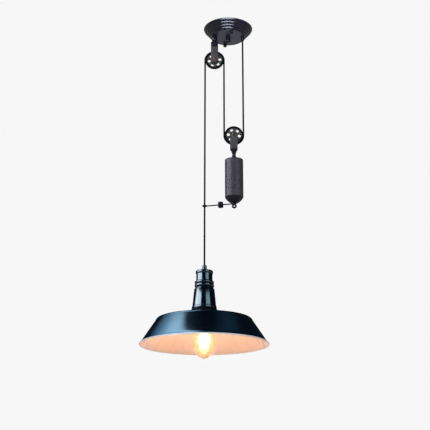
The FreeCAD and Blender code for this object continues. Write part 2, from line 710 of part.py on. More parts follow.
def core_wires(start):
    # Three cores leave the sheath side by side and swing out to their terminals.
    stop_x = (s.block_offset + screw_column + s.terminal_screw_radius + s.hole_clearance * 2).value
    cores = []
    for step in (-1, 0, 1):
        y_start = s.core_spread.value * step
        y_stop = s.pole_pitch.value * step
        entry = Vector((s.block_offset + s.block_width / 2 + s.core_entry).value, y_stop, start.z)
        first = start + Vector(0, y_start, 0)
        if step == 0:
            edges = [Part.LineSegment(first, Vector(stop_x, y_stop, start.z)).toShape()]
        else:
            edges = swing(first, entry)
            edges.append(Part.LineSegment(entry, Vector(stop_x, y_stop, start.z)).toShape())
        cores.append(tube_along(f"core_wire_{step + 1}", edges, s.core_radius.value))
    group("core_wires", cores)


def swing(first, last):
    # Two equal arcs that leave and arrive along X.
    middle = (first + last) * 0.5
    length, side = abs(last.x - first.x), abs(last.y - first.y)
    radius = (length ** 2 + side ** 2) / (4 * side)
    half_angle = math.asin(length / 2 / radius) / 2
    way_x, way_y = math.copysign(1, last.x - first.x), math.copysign(1, last.y - first.y)
    step = Vector(way_x * radius * math.sin(half_angle),
                  way_y * radius * (1 - math.cos(half_angle)), 0)
    return [Part.Arc(first, first + step, middle).toShape(),
            Part.Arc(middle, last - step, last).toShape()]


# pulley blocks

def axle_set(side, x, z):
    # Axle with two flat ends, and the spacers between hub and yoke.
    half_length = half_gap + s.strap_thickness
    end = half_length + s.axle_head_thickness
    radius, head = s.axle_radius, s.axle_head_radius
    across = dict(x=x, z=z, axis=Vector(-1, 0, 0), angle=quarter_turn)
    turned_piece(f"{side}_axle", [
        (level, -end), (head, -end), (head, -half_length), (radius, -half_length),
        (radius, half_length), (head, half_length), (head, end), (level, end)], **across)
    inner = s.hub_length / 2 + s.spacer_play
    bore = radius + s.hole_clearance / 2
    washers = []
    for name, low, high in (("near", -half_gap, -inner), ("far", inner, half_gap)):
        body = new_body(f"{side}_{name}_spacer")
        turn(body, f"{side}_{name}_spacer", [(bore, low), (s.spacer_radius, low),
                                             (s.spacer_radius, high), (bore, high)])
        washers.append(place(body, **across))
    group(f"{side}_spacers", washers)


def wheel(side, x, z, first_hole):
    body = new_body(f"{side}_wheel")
    bore, hub, rim = s.bush_radius + s.press_gap, s.hub_radius, rim_inside
    half_hub, half_web, half_rim = s.hub_length / 2, s.web_thickness / 2, s.rim_width / 2
    groove_radius = s.cord_radius + s.groove_gap
    groove_depth = groove_radius - s.wheel_inset
    lip = (groove_radius * groove_radius - s.wheel_inset * s.wheel_inset).root()
    turn(body, f"{side}_wheel", [
        (bore, -half_hub), (hub, -half_hub), (hub, -half_web), (rim, -half_web),
        (rim, -half_rim), (wheel_edge, -half_rim), (wheel_edge, -lip, groove_depth),
        (wheel_edge, lip), (wheel_edge, half_rim), (rim, half_rim), (rim, half_web),
        (hub, half_web), (hub, half_hub), (bore, half_hub)])
    hole = round_holes(body, f"{side}_wheel", "XY_Plane", [
        (hole_circle * first_hole.cosine(), -hole_circle * first_hole.sine(),
         s.wheel_hole_radius)])
    pattern = body.newObject("PartDesign::PolarPattern", f"{side}_wheel_pattern")
    pattern.Originals = [hole]
    pattern.Axis = (hole.Profile[0], ["N_Axis"])
    pattern.Angle = FULL_TURN
    pattern.setExpression("Occurrences", s.wheel_hole_count.text)
    body.Tip = pattern
    finished(place(body, x=x, z=z, axis=Vector(-1, 0, 0), angle=quarter_turn))
    ring(f"{side}_bush", s.bush_radius, s.axle_radius + s.running_gap, -half_hub, half_hub,
         x=x, z=z, axis=Vector(-1, 0, 0), angle=quarter_turn)


def round_ends(body, name, base, end_z):
    # Rounds the strap's four upright corners at its open end.
    corners = [f"Edge{index}" for index, edge in enumerate(base.Shape.Edges, 1)
               if abs(edge.BoundBox.ZMin - end_z.value) < NEAR
               and edge.BoundBox.ZLength < NEAR and edge.BoundBox.XLength < NEAR]
    feature = body.newObject("PartDesign::Fillet", f"{name}_ends")
    feature.Base = (base, corners)
    feature.setExpression("Radius", (half_strap - s.strap_flat / 2).text)
    doc.recompute()


def upper_yoke():
    # A strap bent in a half circle over the wheel.
    body = new_body("upper_yoke")
    end_z = upper_axle_z - half_strap
    outer = half_gap + s.strap_thickness
    bend_z = yoke_top - outer
    base = pad(body, "upper_yoke", "YZ_Plane", [
        (outer, end_z), (outer, bend_z, -outer), (-outer, bend_z), (-outer, end_z),
        (-half_gap, end_z), (-half_gap, bend_z, half_gap), (half_gap, bend_z), (half_gap, end_z)],
        s.strap_width)
    round_ends(body, "upper_yoke", base, end_z)
    round_holes(body, "upper_yoke_axle", "XZ_Plane",
                [(level, upper_axle_z, s.axle_radius + s.hole_clearance / 2)])
    round_holes(body, "upper_yoke_hanger", "XY_Plane",
                [(level, level, s.hanger_neck_radius + s.hole_clearance)])
    return finished(place(body, x=upper_wheel_x))


def lower_yoke():
    # A strap bent square under the wheel, with small bends.
    body = new_body("lower_yoke")
    end_z = lower_axle_z + half_strap
    outer = half_gap + s.strap_thickness
    bend, inner_bend = s.lower_yoke_corner, s.lower_yoke_corner - s.strap_thickness
    floor = yoke_foot + s.strap_thickness
    base = pad(body, "lower_yoke", "YZ_Plane", [
        (outer, end_z), (outer, yoke_foot + bend, bend * quarter_bulge), (outer - bend, yoke_foot),
        (bend - outer, yoke_foot, bend * quarter_bulge), (-outer, yoke_foot + bend), (-outer, end_z),
        (-half_gap, end_z), (-half_gap, floor + inner_bend, -inner_bend * quarter_bulge),
        (inner_bend - half_gap, floor), (half_gap - inner_bend, floor, -inner_bend * quarter_bulge),
        (half_gap, floor + inner_bend), (half_gap, end_z)], s.strap_width)
    round_ends(body, "lower_yoke", base, end_z)
    round_holes(body, "lower_yoke_axle", "XZ_Plane",
                [(level, lower_axle_z, s.axle_radius + s.hole_clearance / 2)])
    round_holes(body, "lower_yoke_neck", "XY_Plane",
                [(level, level, s.neck_shank_radius + s.hole_clearance)])
    return finished(place(body, x=lower_wheel_x))


# cord outside the canopy

def cord_run(name, x, top, foot):
    finished(cylinder(name, s.cord_radius, top - foot, x=x, z=foot))


def cord_wraps():
    finished(torus("upper_cord_wrap", s.pitch_radius, s.cord_radius, HALF_TURN,
                   x=upper_wheel_x, z=upper_axle_z, axis=Vector(1, 0, 0), angle=quarter_turn))
    finished(torus("lower_cord_wrap", s.pitch_radius, s.cord_radius, HALF_TURN,
                   x=lower_wheel_x, z=lower_axle_z, axis=Vector(-1, 0, 0), angle=quarter_turn))
    length = math.pi * s.pitch_radius.value
    print(f"cord wraps: radius {s.pitch_radius.value:.1f}, length {length:.1f} each")


# counterweight

def weight_neck():
    head_foot = yoke_foot + s.strap_thickness
    waist = yoke_foot - s.waist_drop
    thread_foot = weight_top - s.neck_thread_length
    turned_piece("weight_neck", [
        (level, thread_foot), (s.neck_thread_radius, thread_foot),
        (s.neck_thread_radius, weight_top), (s.neck_foot_radius, weight_top, s.neck_bulge),
        (s.waist_radius, waist), (s.neck_top_radius, yoke_foot), (s.neck_shank_radius, yoke_foot),
        (s.neck_shank_radius, head_foot), (s.neck_rivet_radius, head_foot),
        (s.neck_rivet_radius, head_foot + s.neck_rivet_thickness),
        (level, head_foot + s.neck_rivet_thickness)], x=lower_wheel_x)


def weight_body():
    radius, cut = s.weight_radius, s.weight_chamfer
    upper_bore = s.neck_thread_radius + s.thread_gap
    upper_end = weight_top - s.neck_thread_length - s.bore_spare
    lower_bore = s.eye_shank_radius + s.thread_gap
    lower_end = cone_foot + s.eye_shank_length + s.bore_spare
    turned_piece("weight_body", [
        (level, upper_end), (upper_bore, upper_end), (upper_bore, weight_top),
        (radius - cut, weight_top), (radius, weight_top - cut), (radius, weight_foot, s.cone_bulge),
        (s.cone_foot_radius, cone_foot), (lower_bore, cone_foot), (lower_bore, lower_end),
        (level, lower_end)], x=lower_wheel_x)


def weight_eye():
    eye_z = cone_foot - s.eye_drop
    half, rim = s.eye_thickness / 2, s.eye_outer_radius - s.eye_bulge
    eye = new_body("eye_ring")
    turn(eye, "eye_ring", [(s.eye_hole_radius, -half), (rim, -half, -s.eye_bulge), (rim, half),
                           (s.eye_hole_radius, half)])
    place(eye, x=lower_wheel_x, z=eye_z, axis=Vector(1, 0, 0), angle=quarter_turn)
    blank = joined("eye_blank", [
        eye, cylinder("eye_shank", s.eye_shank_radius, s.eye_shank_length,
                      x=lower_wheel_x, z=cone_foot),
        cylinder("eye_collar", s.eye_collar_radius, s.eye_collar_length,
                 x=lower_wheel_x, z=cone_foot - s.eye_collar_length)])
    piece = doc.addObject("Part::Cut", "weight_eye")
    piece.Base = blank
    piece.Tool = joined("eye_holes", [
        cylinder("eye_hole", s.eye_hole_radius, s.eye_outer_radius * 2, x=lower_wheel_x,
                 y=s.eye_outer_radius, z=eye_z, axis=Vector(1, 0, 0), angle=quarter_turn),
        cylinder("arm_hole", s.arm_rod_radius + s.thread_gap, s.arm_seat * 2,
                 **on_arm(-s.arm_seat))])
    finished(piece)


# guide arm

arm_root_x = lower_wheel_x - s.eye_collar_radius
arm_root_z = cone_foot - s.arm_drop
arm_angle = s.arm_slope + quarter_turn
loop_x = lamp_x + s.loop_radius


def on_arm(distance):
    # Place and direction of something that sits on the arm's axis.
    return dict(x=arm_root_x - distance * s.arm_slope.cosine(),
                z=arm_root_z - distance * s.arm_slope.sine(),
                axis=Vector(0, -1, 0), angle=arm_angle)


def guide_arm():
    arm_length = (arm_root_x - loop_x) / s.arm_slope.cosine()
    inner_length = s.arm_seat + s.coupler_distance - s.rod_end_gap / 2
    outer_start = s.coupler_distance + s.rod_end_gap / 2
    finished(cylinder("guide_rod_inner", s.arm_rod_radius, inner_length, **on_arm(-s.arm_seat)))
    rod = cylinder("outer_rod", s.arm_rod_radius, arm_length - outer_start, **on_arm(outer_start))
    loop_z = on_arm(arm_length)["z"]
    loop = torus("rod_loop", s.loop_radius, s.loop_rod_radius, x=lamp_x, z=loop_z)
    finished(joined("guide_rod_outer", [rod, loop]))
    guide_coupler()


def guide_coupler():
    body = new_body("guide_coupler")
    bore, radius = s.arm_rod_radius + s.thread_gap, s.coupler_radius
    half, cut = s.coupler_length / 2, s.coupler_chamfer
    turn(body, "guide_coupler", [
        (bore, -half), (radius - cut, -half), (radius, cut - half), (radius, half - cut),
        (radius - cut, half), (bore, half)])
    sketch = new_sketch(body, "grub_holes", "YZ_Plane")
    for way in (-1, 1):
        draw_circle(sketch, level, s.grub_spread * way, s.grub_radius + s.thread_gap)
    before = body.Shape.Volume
    holes = body.newObject("PartDesign::Pocket", "grub_hole_cut")
    holes.Profile = sketch
    holes.Type = "Length"
    holes.setExpression("Length", radius.text)
    doc.recompute()
    if body.Shape.Volume >= before:
        raise ValueError("the coupler's screw holes cut nothing")
    finished(place(body, **on_arm(s.coupler_distance)))
    grub_length = radius - s.arm_rod_radius - s.grub_sunk
    screws = []
    for name, way in (("inner", -1), ("outer", 1)):
        spot = on_arm(s.coupler_distance + s.grub_spread * way)
        start = s.arm_rod_radius + grub_length
        spot["x"] = spot["x"] + start * s.arm_slope.sine()
        spot["z"] = spot["z"] - start * s.arm_slope.cosine()
        spot["axis"] = Vector(0, -1, 0)
        spot["angle"] = s.arm_slope
        screws.append(cylinder(f"{name}_grub", s.grub_radius, grub_length, **spot))
    group("guide_screws", screws)


# lamp

def cord_grip():
    bore, socket = s.cord_radius + s.cord_gap, s.nipple_radius + s.thread_gap
    radius, cut = s.grip_radius, s.grip_chamfer
    shelf = housing_top + s.nipple_engagement
    turned_piece("cord_grip", [
        (socket, housing_top), (radius, housing_top), (radius, grip_top - cut),
        (radius - cut, grip_top), (bore, grip_top), (bore, shelf), (socket, shelf)], x=lamp_x)


def housing():
    wall, hole = s.housing_wall, s.nipple_radius + s.hole_clearance
    ceiling = housing_top - wall
    turned_piece("housing", [
        (hole, housing_top), (hole, ceiling), (s.housing_radius - wall, ceiling),
        (s.housing_radius - wall, band_foot), (s.groove_radius - wall, twin_waist),
        (s.groove_radius - wall, groove_foot), (s.cone_top_radius - wall, cone_top),
        (s.cone_bottom_radius - wall, cone_end), (s.ridge_foot_radius - wall, ridge_foot),
        (s.flare_radius - wall, shade_top), (s.flare_radius, shade_top, s.flare_bulge),
        (s.ridge_foot_radius, ridge_foot, -s.ridge_bulge), (s.cone_bottom_radius, cone_end),
        (s.cone_top_radius, cone_top), (s.groove_radius, groove_foot),
        (s.groove_radius, twin_foot, -s.lower_twin_bulge),
        (s.twin_waist_radius, twin_waist, -s.upper_twin_bulge),
        (s.housing_radius, band_foot), (s.housing_radius, bead_foot, -s.bead_bulge),
        (s.housing_radius - s.bead_inset, housing_top)], x=lamp_x)


def nipple():
    foot = cap_top - s.holder_wall - s.nipple_overhang
    ring("nipple", s.nipple_radius, s.nipple_bore_radius, foot,
         housing_top + s.nipple_engagement, x=lamp_x)
    bore = s.nipple_radius + s.thread_gap
    thin = s.gland_nut_thickness
    group("nipple_nuts", [
        hex_nut("housing_nut", s.hanger_nut_flats, bore, s.hanger_nut_thickness, x=lamp_x,
                z=housing_top - s.housing_wall - s.hanger_nut_thickness),
        hex_nut("upper_cap_nut", s.hanger_nut_flats, bore, thin, x=lamp_x, z=cap_top),
        hex_nut("lower_cap_nut", s.hanger_nut_flats, bore, thin, x=lamp_x,
                z=cap_top - s.holder_wall - thin)])


def lamp_cord_tail():
    foot = cap_top - s.holder_wall - s.nipple_overhang - s.bore_spare
    finished(cylinder("lamp_cord_tail", s.cord_radius, grip_top - foot, x=lamp_x, z=foot))
    length = foot - (cap_top - s.inner_top_drop)
    group("lamp_cores", [cylinder(f"lamp_core_{index}", s.core_radius, length,
                                  x=lamp_x + s.core_spread * offset, z=foot - length)
                         for index, offset in (("line", -1 / 2), ("neutral", 1 / 2))])


def lampholder():
    radius, wall = s.holder_radius, s.holder_wall
    hole = s.nipple_radius + s.hole_clearance
    turned_piece("holder_cap", [
        (hole, cap_top), (hole, cap_top - wall),
        (s.cap_flat_radius - wall / 2, cap_top - wall, s.cap_swell),
        (radius - wall, cap_top - s.cap_round), (radius - wall, cap_foot), (radius, cap_foot),
        (radius, cap_top - s.cap_round, -s.cap_swell), (s.cap_flat_radius, cap_top)], x=lamp_x)
    skirt_inner = s.holder_radius - wall - s.inner_gap
    skirt_foot = shade_top - s.skirt_depth
    turned_piece("holder_skirt", [
        (skirt_inner, skirt_foot), (s.skirt_thread_radius, skirt_foot),
        (s.skirt_thread_radius, shade_top), (s.skirt_collar_radius, shade_top),
        (s.skirt_collar_radius, cap_foot), (skirt_inner, cap_foot)], x=lamp_x)
    block = skirt_inner - s.inner_gap
    shell_bore = s.shell_radius + s.cord_gap
    contact_top = bulb_top + s.contact_height
    inner_foot = shade_top - s.inner_depth
    inner_top = cap_top - s.inner_top_drop
    turned_piece("holder_inner", [
        (level, contact_top), (shell_bore, contact_top), (shell_bore, inner_foot),
        (block, inner_foot), (block, inner_top), (level, inner_top)], x=lamp_x)
    ring("thread_shell", s.shell_radius, s.shell_radius - s.shell_wall,
         shade_top - s.shell_depth, contact_top, x=lamp_x)
    finished(cylinder("centre_contact", s.contact_radius, s.contact_height, x=lamp_x, z=bulb_top))
    group("holder_screws", [
        cylinder(f"holder_screw_{name}", s.holder_screw_radius, s.holder_screw_length,
                 x=lamp_x + s.holder_screw_spread * way, z=inner_top)
        for name, way in (("left", -1), ("right", 1))])


def shade_ring():
    top = shade_top - s.shade_sheet
    foot = top - s.ring_height
    bore, radius, cut = s.skirt_thread_radius + s.cord_gap, s.ring_radius, s.ring_groove
    third = s.ring_height / 3
    turned_piece("shade_ring", [
        (bore, foot), (radius - cut, foot), (radius - cut, foot + third), (radius, foot + third * 2),
        (radius, top), (bore, top)], x=lamp_x)


def shade():
    sheet = s.shade_sheet
    dome_z = shade_top - s.dome_drop
    shoulder_z = dome_z - s.shoulder_drop
    side_z = shoulder_z - s.side_drop
    lip_z = side_z - s.lip_drop
    shoulder = s.dome_radius + s.shoulder_run
    side = shoulder + s.side_run
    lip = side + s.lip_run
    flat = s.flare_radius + s.shade_flat_margin
    slant = sheet * (s.side_run * s.side_run + s.side_drop * s.side_drop).root() / s.side_drop
    hole = s.skirt_thread_radius + s.hole_clearance
    turned_piece("shade", [
        (hole, shade_top), (hole, shade_top - sheet),
        (flat, shade_top - sheet, s.dome_bulge), (s.dome_radius, dome_z - sheet, s.shoulder_bulge),
        (shoulder - slant, shoulder_z), (side - slant, side_z, -s.lip_bulge),
        (lip - s.edge_inset, lip_z - s.edge_drop, -s.edge_bulge), (lip, lip_z, s.lip_bulge),
        (side, side_z), (shoulder, shoulder_z, -s.shoulder_bulge),
        (s.dome_radius, dome_z, -s.dome_bulge), (flat, shade_top)], x=lamp_x)


# bulb

def bulb():
    cap, wall = s.bulb_cap_radius, s.bulb_cap_wall
    cone_z = bulb_cap_top - s.cap_cone_height
    turned_piece("bulb_contact", [
        (level, bulb_cap_top), (s.bulb_contact_radius, bulb_cap_top),
        (s.bulb_contact_radius - s.bulb_contact_taper, bulb_top), (level, bulb_top)], x=lamp_x)
    turned_piece("bulb_cap", [
        (level, cone_z), (cap - wall, cone_z), (cap - wall, bulb_cap_foot), (cap, bulb_cap_foot),
        (cap, cone_z), (s.bulb_contact_radius, bulb_cap_top), (level, bulb_cap_top)], x=lamp_x)
    glass = s.glass_wall
    neck, middle, wide = s.glass_neck_radius, s.glass_middle_radius, s.glass_radius
    seat = bulb_cap_foot + s.glass_seat
    middle_z = bulb_cap_foot - s.glass_middle_drop
    wide_z = bulb_cap_foot - s.glass_wide_drop
    tip_z = wide_z - s.glass_tip_drop
    turned_piece("bulb_glass", [
        (neck - glass, seat), (neck - glass, bulb_cap_foot, -s.glass_hollow),
        (middle - glass, middle_z, s.glass_swell), (wide - glass, wide_z, s.glass_tip_swell),
        (level, tip_z + glass), (level, tip_z, -s.glass_tip_swell),
        (wide, wide_z, -s.glass_swell), (middle, middle_z, s.glass_hollow), (neck, bulb_cap_foot),
        (neck, seat)], x=lamp_x)
    stem_top = seat - s.bore_spare
    waist, rod = s.stem_waist, s.stem_rod_radius
    stem_foot = stem_top - s.stem_length
    rod_foot = stem_foot - s.stem_rod_length
    turned_piece("bulb_stem", [
        (level, rod_foot), (rod, rod_foot), (rod, stem_foot), (waist, stem_foot),
        (waist, stem_top - s.stem_flare), (s.stem_radius, stem_top), (level, stem_top)], x=lamp_x)
    filament_cage(stem_foot - s.support_inset, rod_foot + s.support_inset)


def rod_between(name, start, end, radius):
    way = end - start
    item = doc.addObject("Part::Feature", name)
    item.Shape = Part.makeCylinder(radius, way.Length, start, way)
    return item


def filament_cage(top_z, foot_z):
    # Strands run up and down round the rod, each end next to its own support wire.
    count = int(s.filament_count.value)
    thin, gap = s.support_radius.value, s.filament_radius.value + s.support_radius.value
    start_radius = s.stem_rod_radius.value + s.thread_gap.value
    middle = Vector(lamp_x.value, 0, 0)
    strands, wires = [], []
    for index in range(count):
        angle = 2 * math.pi * index / count
        out = Vector(math.cos(angle), math.sin(angle), 0)
        high = middle + out * s.cage_top_radius.value + Vector(0, 0, top_z.value)
        low = middle + out * s.cage_bottom_radius.value + Vector(0, 0, foot_z.value)
        lift = Vector(0, 0, gap)
        strands.append(rod_between(f"strand_{index}", low + lift, high - lift,
                                   s.filament_radius.value))
        for name, tip in (("high", high), ("low", low)):
            root = middle + out * start_radius + Vector(0, 0, tip.z)
            wires.append(rod_between(f"support_{name}_{index}", root, tip, thin))
    group("bulb_filaments", strands)
    group("bulb_supports", wires)


def build():
    ceiling_crossbar()
    canopy_studs()
    canopy()
    group("canopy_nuts", [knurled_nut("near_nut", -1), knurled_nut("far_nut", 1)])
    centre_finial()
    terminal_block()
    hanger()
    cord_gland()
    canopy_cord_tail()
    upper_yoke()
    lower_yoke()
    for side, x, z, hole in (("upper", upper_wheel_x, upper_axle_z, s.upper_wheel_turn),
                             ("lower", lower_wheel_x, lower_axle_z, s.lower_wheel_turn)):
        axle_set(side, x, z)
        wheel(side, x, z, hole)
    cord_wraps()
    cord_run("lamp_cord_run", lamp_x, upper_axle_z, grip_top)
    cord_run("middle_cord_run", middle_cord_x, upper_axle_z, lower_axle_z)
    cord_run("canopy_cord_run", canopy_cord_x, gland_foot, lower_axle_z)
    weight_neck()
    weight_body()
    weight_eye()
    guide_arm()
    cord_grip()
    housing()
    nipple()
    lamp_cord_tail()
    lampholder()
    shade_ring()
    shade()
    bulb()


def check_and_write():
    doc.recompute()
    for item in doc.Objects:
        if "Invalid" in item.State or "Error" in item.State:
            raise ValueError(f"{item.Label} failed: {item.State}")
    for item in sub_parts:
        if item.Shape.isNull() or not item.Shape.isValid() or not item.Shape.Solids:
            raise ValueError(f"{item.Label} has no valid solid")
    os.makedirs("parts", exist_ok=True)
    for item in sub_parts:
        item.Shape.exportStep(os.path.join("parts", f"{item.Label}.step"))
        print(f"{item.Label}: {len(item.Shape.Solids)} solid(s), {item.Shape.Volume / 1000:.3f} cm3")
    print(f"{len(sub_parts)} sub-parts")


build()
check_and_write()
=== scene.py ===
import math

import bmesh
import bpy
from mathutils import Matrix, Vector


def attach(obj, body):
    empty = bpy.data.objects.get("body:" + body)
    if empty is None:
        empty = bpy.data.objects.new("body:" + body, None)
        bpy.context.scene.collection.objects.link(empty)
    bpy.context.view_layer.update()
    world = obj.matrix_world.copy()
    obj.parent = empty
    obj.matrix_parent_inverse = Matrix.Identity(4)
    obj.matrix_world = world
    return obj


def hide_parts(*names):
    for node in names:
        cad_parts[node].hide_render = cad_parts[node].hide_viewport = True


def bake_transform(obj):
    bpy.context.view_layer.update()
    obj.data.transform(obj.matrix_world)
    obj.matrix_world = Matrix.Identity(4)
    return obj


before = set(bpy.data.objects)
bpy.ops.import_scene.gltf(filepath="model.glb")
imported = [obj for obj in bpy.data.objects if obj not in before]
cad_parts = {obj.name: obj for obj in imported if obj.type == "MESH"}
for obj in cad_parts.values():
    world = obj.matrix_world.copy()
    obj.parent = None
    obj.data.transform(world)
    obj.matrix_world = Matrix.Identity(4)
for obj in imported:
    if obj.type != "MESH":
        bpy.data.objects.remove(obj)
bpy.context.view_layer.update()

# Rise and fall pendant. Sizes below are in millimetres and degrees unless a note says otherwise.

mm = 0.001
tiny = 1e-6
creaseAngle = 32
print("frame loaded:", len(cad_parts), "solids")


def metres(place):
    return [value * mm for value in place]


def addObject(name, data, place=(0, 0, 0)):
    thing = bpy.data.objects.new(name, data)
    bpy.context.scene.collection.objects.link(thing)
    thing.location = metres(place)
    return thing


# Camera at the photograph's viewing angle, from below the shade's rim.

cameraLook = {
    "place": (-40.1, -2534.3, -1390.2),
    "tiltUp": 17.387,
    "focalLength": 77.29,
    "sensorWidth": 36,
}


def placeCamera(place, tiltUp, focalLength, sensorWidth):
    data = bpy.data.cameras.new("photo_camera")
    data.lens = focalLength
    data.sensor_width = sensorWidth
    data.clip_start = 0.01
    camera = addObject("photo_camera", data, place)
    camera.rotation_euler = (math.radians(90 + tiltUp), 0, 0)
    bpy.context.scene.camera = camera


placeCamera(**cameraLook)
bpy.context.scene.view_settings.view_transform = "Standard"
print("camera placed")


# Finishes.

def feed(tree, node, inputs):
    # Each input gets a plain value or the output of another node.
    for name, value in inputs.items():
        socket = node.inputs[name]
        if isinstance(value, bpy.types.NodeSocket):
            tree.links.new(value, socket)
        else:
            socket.default_value = (*value, 1) if socket.type == "RGBA" else value
    return node


def newNode(tree, kind, inputs):
    return feed(tree, tree.nodes.new("ShaderNode" + kind), inputs)


def calculate(tree, operation, *values):
    node = newNode(tree, "Math", dict(enumerate(values)))
    node.operation = operation
    return node.outputs[0]


def multiply(tree, first, second):
    return calculate(tree, "MULTIPLY", first, second)


def addNoise(tree, scale, detail=3.0, stretch=None, rough=0.55):
    place = newNode(tree, "TexCoord", {}).outputs["Object"]
    if stretch:
        place = newNode(tree, "Mapping", {"Scale": stretch, "Vector": place}).outputs["Vector"]
    return newNode(tree, "TexNoise", {"Scale": scale, "Detail": detail, "Roughness": rough,
                                      "Vector": place}).outputs["Fac"]


def remap(tree, value, low, high, fromLow=0.3, fromHigh=0.7):
    return newNode(tree, "MapRange", {"From Min": fromLow, "From Max": fromHigh, "To Min": low,
                                      "To Max": high, "Value": value}).outputs["Result"]


def blendColours(tree, amount, first, second):
    node = newNode(tree, "Mix", {})
    node.data_type = "RGBA"
    return feed(tree, node, {"Factor": amount, 6: first, 7: second}).outputs[2]


def addBump(tree, shader, height, strength, depth):
    bump = newNode(tree, "Bump", {"Strength": strength, "Distance": depth * mm, "Height": height})
    feed(tree, shader, {"Normal": bump.outputs["Normal"]})


def startFinish(name):
    material = bpy.data.materials.new(name)
    material.use_nodes = True
    return material, material.node_tree, material.node_tree.nodes["Principled BSDF"]


def coated(name, look):
    # Paint, enamel, plastic or rubber: soft patches, dust, rubbed edges and a fine skin.
    material, tree, shader = startFinish(name)
    patches = remap(tree, addNoise(tree, look["patchScale"]), 0, 1)
    colour = blendColours(tree, patches, look["colour"], look["patch"])
    specks = remap(tree, addNoise(tree, look.get("dustScale", 900), 2), 0, look["dustAmount"], 0.62, 0.72)
    colour = blendColours(tree, specks, colour, look["dust"])
    if "rubbed" in look:
        edges = newNode(tree, "NewGeometry", {}).outputs["Pointiness"]
        worn = multiply(tree, remap(tree, edges, 0, 1, 0.53, 0.6),
                        remap(tree, addNoise(tree, 160), 0, look["rubAmount"], 0.4, 0.65))
        colour = blendColours(tree, worn, colour, look["rubbed"])
    rough, spread = look["rough"], look["roughSpread"]
    feed(tree, shader, {
        "Base Color": colour, "Roughness": remap(tree, addNoise(tree, 40, 4), rough - spread, rough + spread),
        "Specular IOR Level": look.get("shine", 0.5), "Specular Tint": look.get("shineTint", (1, 1, 1))})
    addBump(tree, shader, addNoise(tree, look["skinScale"], 2, look.get("skinStretch")),
            look["skinStrength"], look.get("skinDepth", 0.05))
    return material


def machined(name, look):
    # Bare metal with the lines that the tool left, and dull patches.
    material, tree, shader = startFinish(name)
    lines = addNoise(tree, look["lineScale"], 3, look["lineStretch"], 0.7)
    dull = remap(tree, addNoise(tree, 60, 4), 0, look["dullAmount"], 0.45, 0.7)
    colour = blendColours(tree, lines, look["colour"], look["lineColour"])
    colour = blendColours(tree, dull, colour, look["dull"])
    rough, spread = look["rough"], look["roughSpread"]
    feed(tree, shader, {"Base Color": colour, "Metallic": 1,
                        "Roughness": remap(tree, lines, rough - spread, rough + spread)})
    addBump(tree, shader, lines, look["lineStrength"], 0.04)
    return material


def glass(name, look):
    material, tree, shader = startFinish(name)
    feed(tree, shader, {"Base Color": look["colour"], "Transmission Weight": 1, "IOR": look["ior"],
                        "Roughness": remap(tree, addNoise(tree, look["smearScale"]), *look["roughRange"])})
    if "skinScale" in look:
        addBump(tree, shader, addNoise(tree, look["skinScale"]), look["skinStrength"], look["skinDepth"])
    return material


# Shapes.

def roundTurn(count):
    return [2 * math.pi * step / count for step in range(count)]


def alongArc(first, second, bulge, arcDegrees=9, arcLength=5):
    # Points of an arc between two corners; bulge is how far it stands out to the left.
    dx, dy = second[0] - first[0], second[1] - first[1]
    chord = math.hypot(dx, dy)
    if abs(bulge) < tiny or chord < tiny:
        return []
    sweep = 4 * math.atan(2 * bulge / chord)
    radius = chord / 2 / math.sin(sweep / 2)
    centreX = (first[0] + second[0]) / 2 + dy / chord * (radius - bulge)
    centreY = (first[1] + second[1]) / 2 - dx / chord * (radius - bulge)
    startX, startY = first[0] - centreX, first[1] - centreY
    count = max(3, math.ceil(abs(math.degrees(sweep)) / arcDegrees), math.ceil(chord / arcLength))
    turns = [-sweep * index / count for index in range(1, count)]
    return [(centreX + startX * math.cos(turn) - startY * math.sin(turn),
             centreY + startX * math.sin(turn) + startY * math.cos(turn)) for turn in turns]


def outlineOf(corners):
    # Corners are (radius, height) or (radius, height, bulge of the side that follows).
    points, marks = [], []
    for index, corner in enumerate(corners):
        arc = alongArc(corner, corners[(index + 1) % len(corners)], corner[2]) if len(corner) == 3 else []
        points += [(corner[0], corner[1]), *arc]
        marks += [index] * (len(arc) + 1)
    return points, marks


def bridge(shape, first, second, paint=0):
    # Smooth faces between two rings of points; a ring can be one point that is repeated.
    for step in range(len(first)):
        ahead = (step + 1) % len(first)
        corners = list(dict.fromkeys((first[step], first[ahead], second[ahead], second[step])))
        if len(corners) > 2:
            face = shape.faces.new(corners)
            face.material_index = paint
            face.smooth = True


def asPiece(name, shape, crease=creaseAngle, place=(0, 0, 0)):
    bmesh.ops.recalc_face_normals(shape, faces=shape.faces)
    mesh = bpy.data.meshes.new(name)
    shape.to_mesh(mesh)
    shape.free()
    mesh.set_sharp_from_angle(angle=math.radians(crease))
    return addObject(name, mesh, place)


def turned(name, corners, centre, along="z", steps=96, ripple=None, paintOf=lambda mark: 0):
    # A closed outline turned round an axis; ripple is (count, depth, low, high) for knurls.
    points, marks = outlineOf(corners)
    shape = bmesh.new()
    if ripple:
        steps = ripple[0] * 4
    rings = []
    for radius, height in points:
        rippled = ripple and ripple[2] - tiny <= height <= ripple[3] + tiny
        ring = []
        for step, angle in enumerate(roundTurn(steps if radius > tiny else 1)):
            reach = radius - (ripple[1] * (0.5 - 0.5 * math.cos(step * math.pi / 2)) if rippled else 0)
            across, up = reach * math.cos(angle), reach * math.sin(angle)
            place = (across, height, up) if along == "y" else (across, up, height)
            ring.append(shape.verts.new(metres(place)))
        rings.append(ring if len(ring) > 1 else ring * steps)
    for index, ring in enumerate(rings):
        bridge(shape, ring, rings[(index + 1) % len(rings)], paintOf(marks[index]))
    return asPiece(name, shape, place=centre)


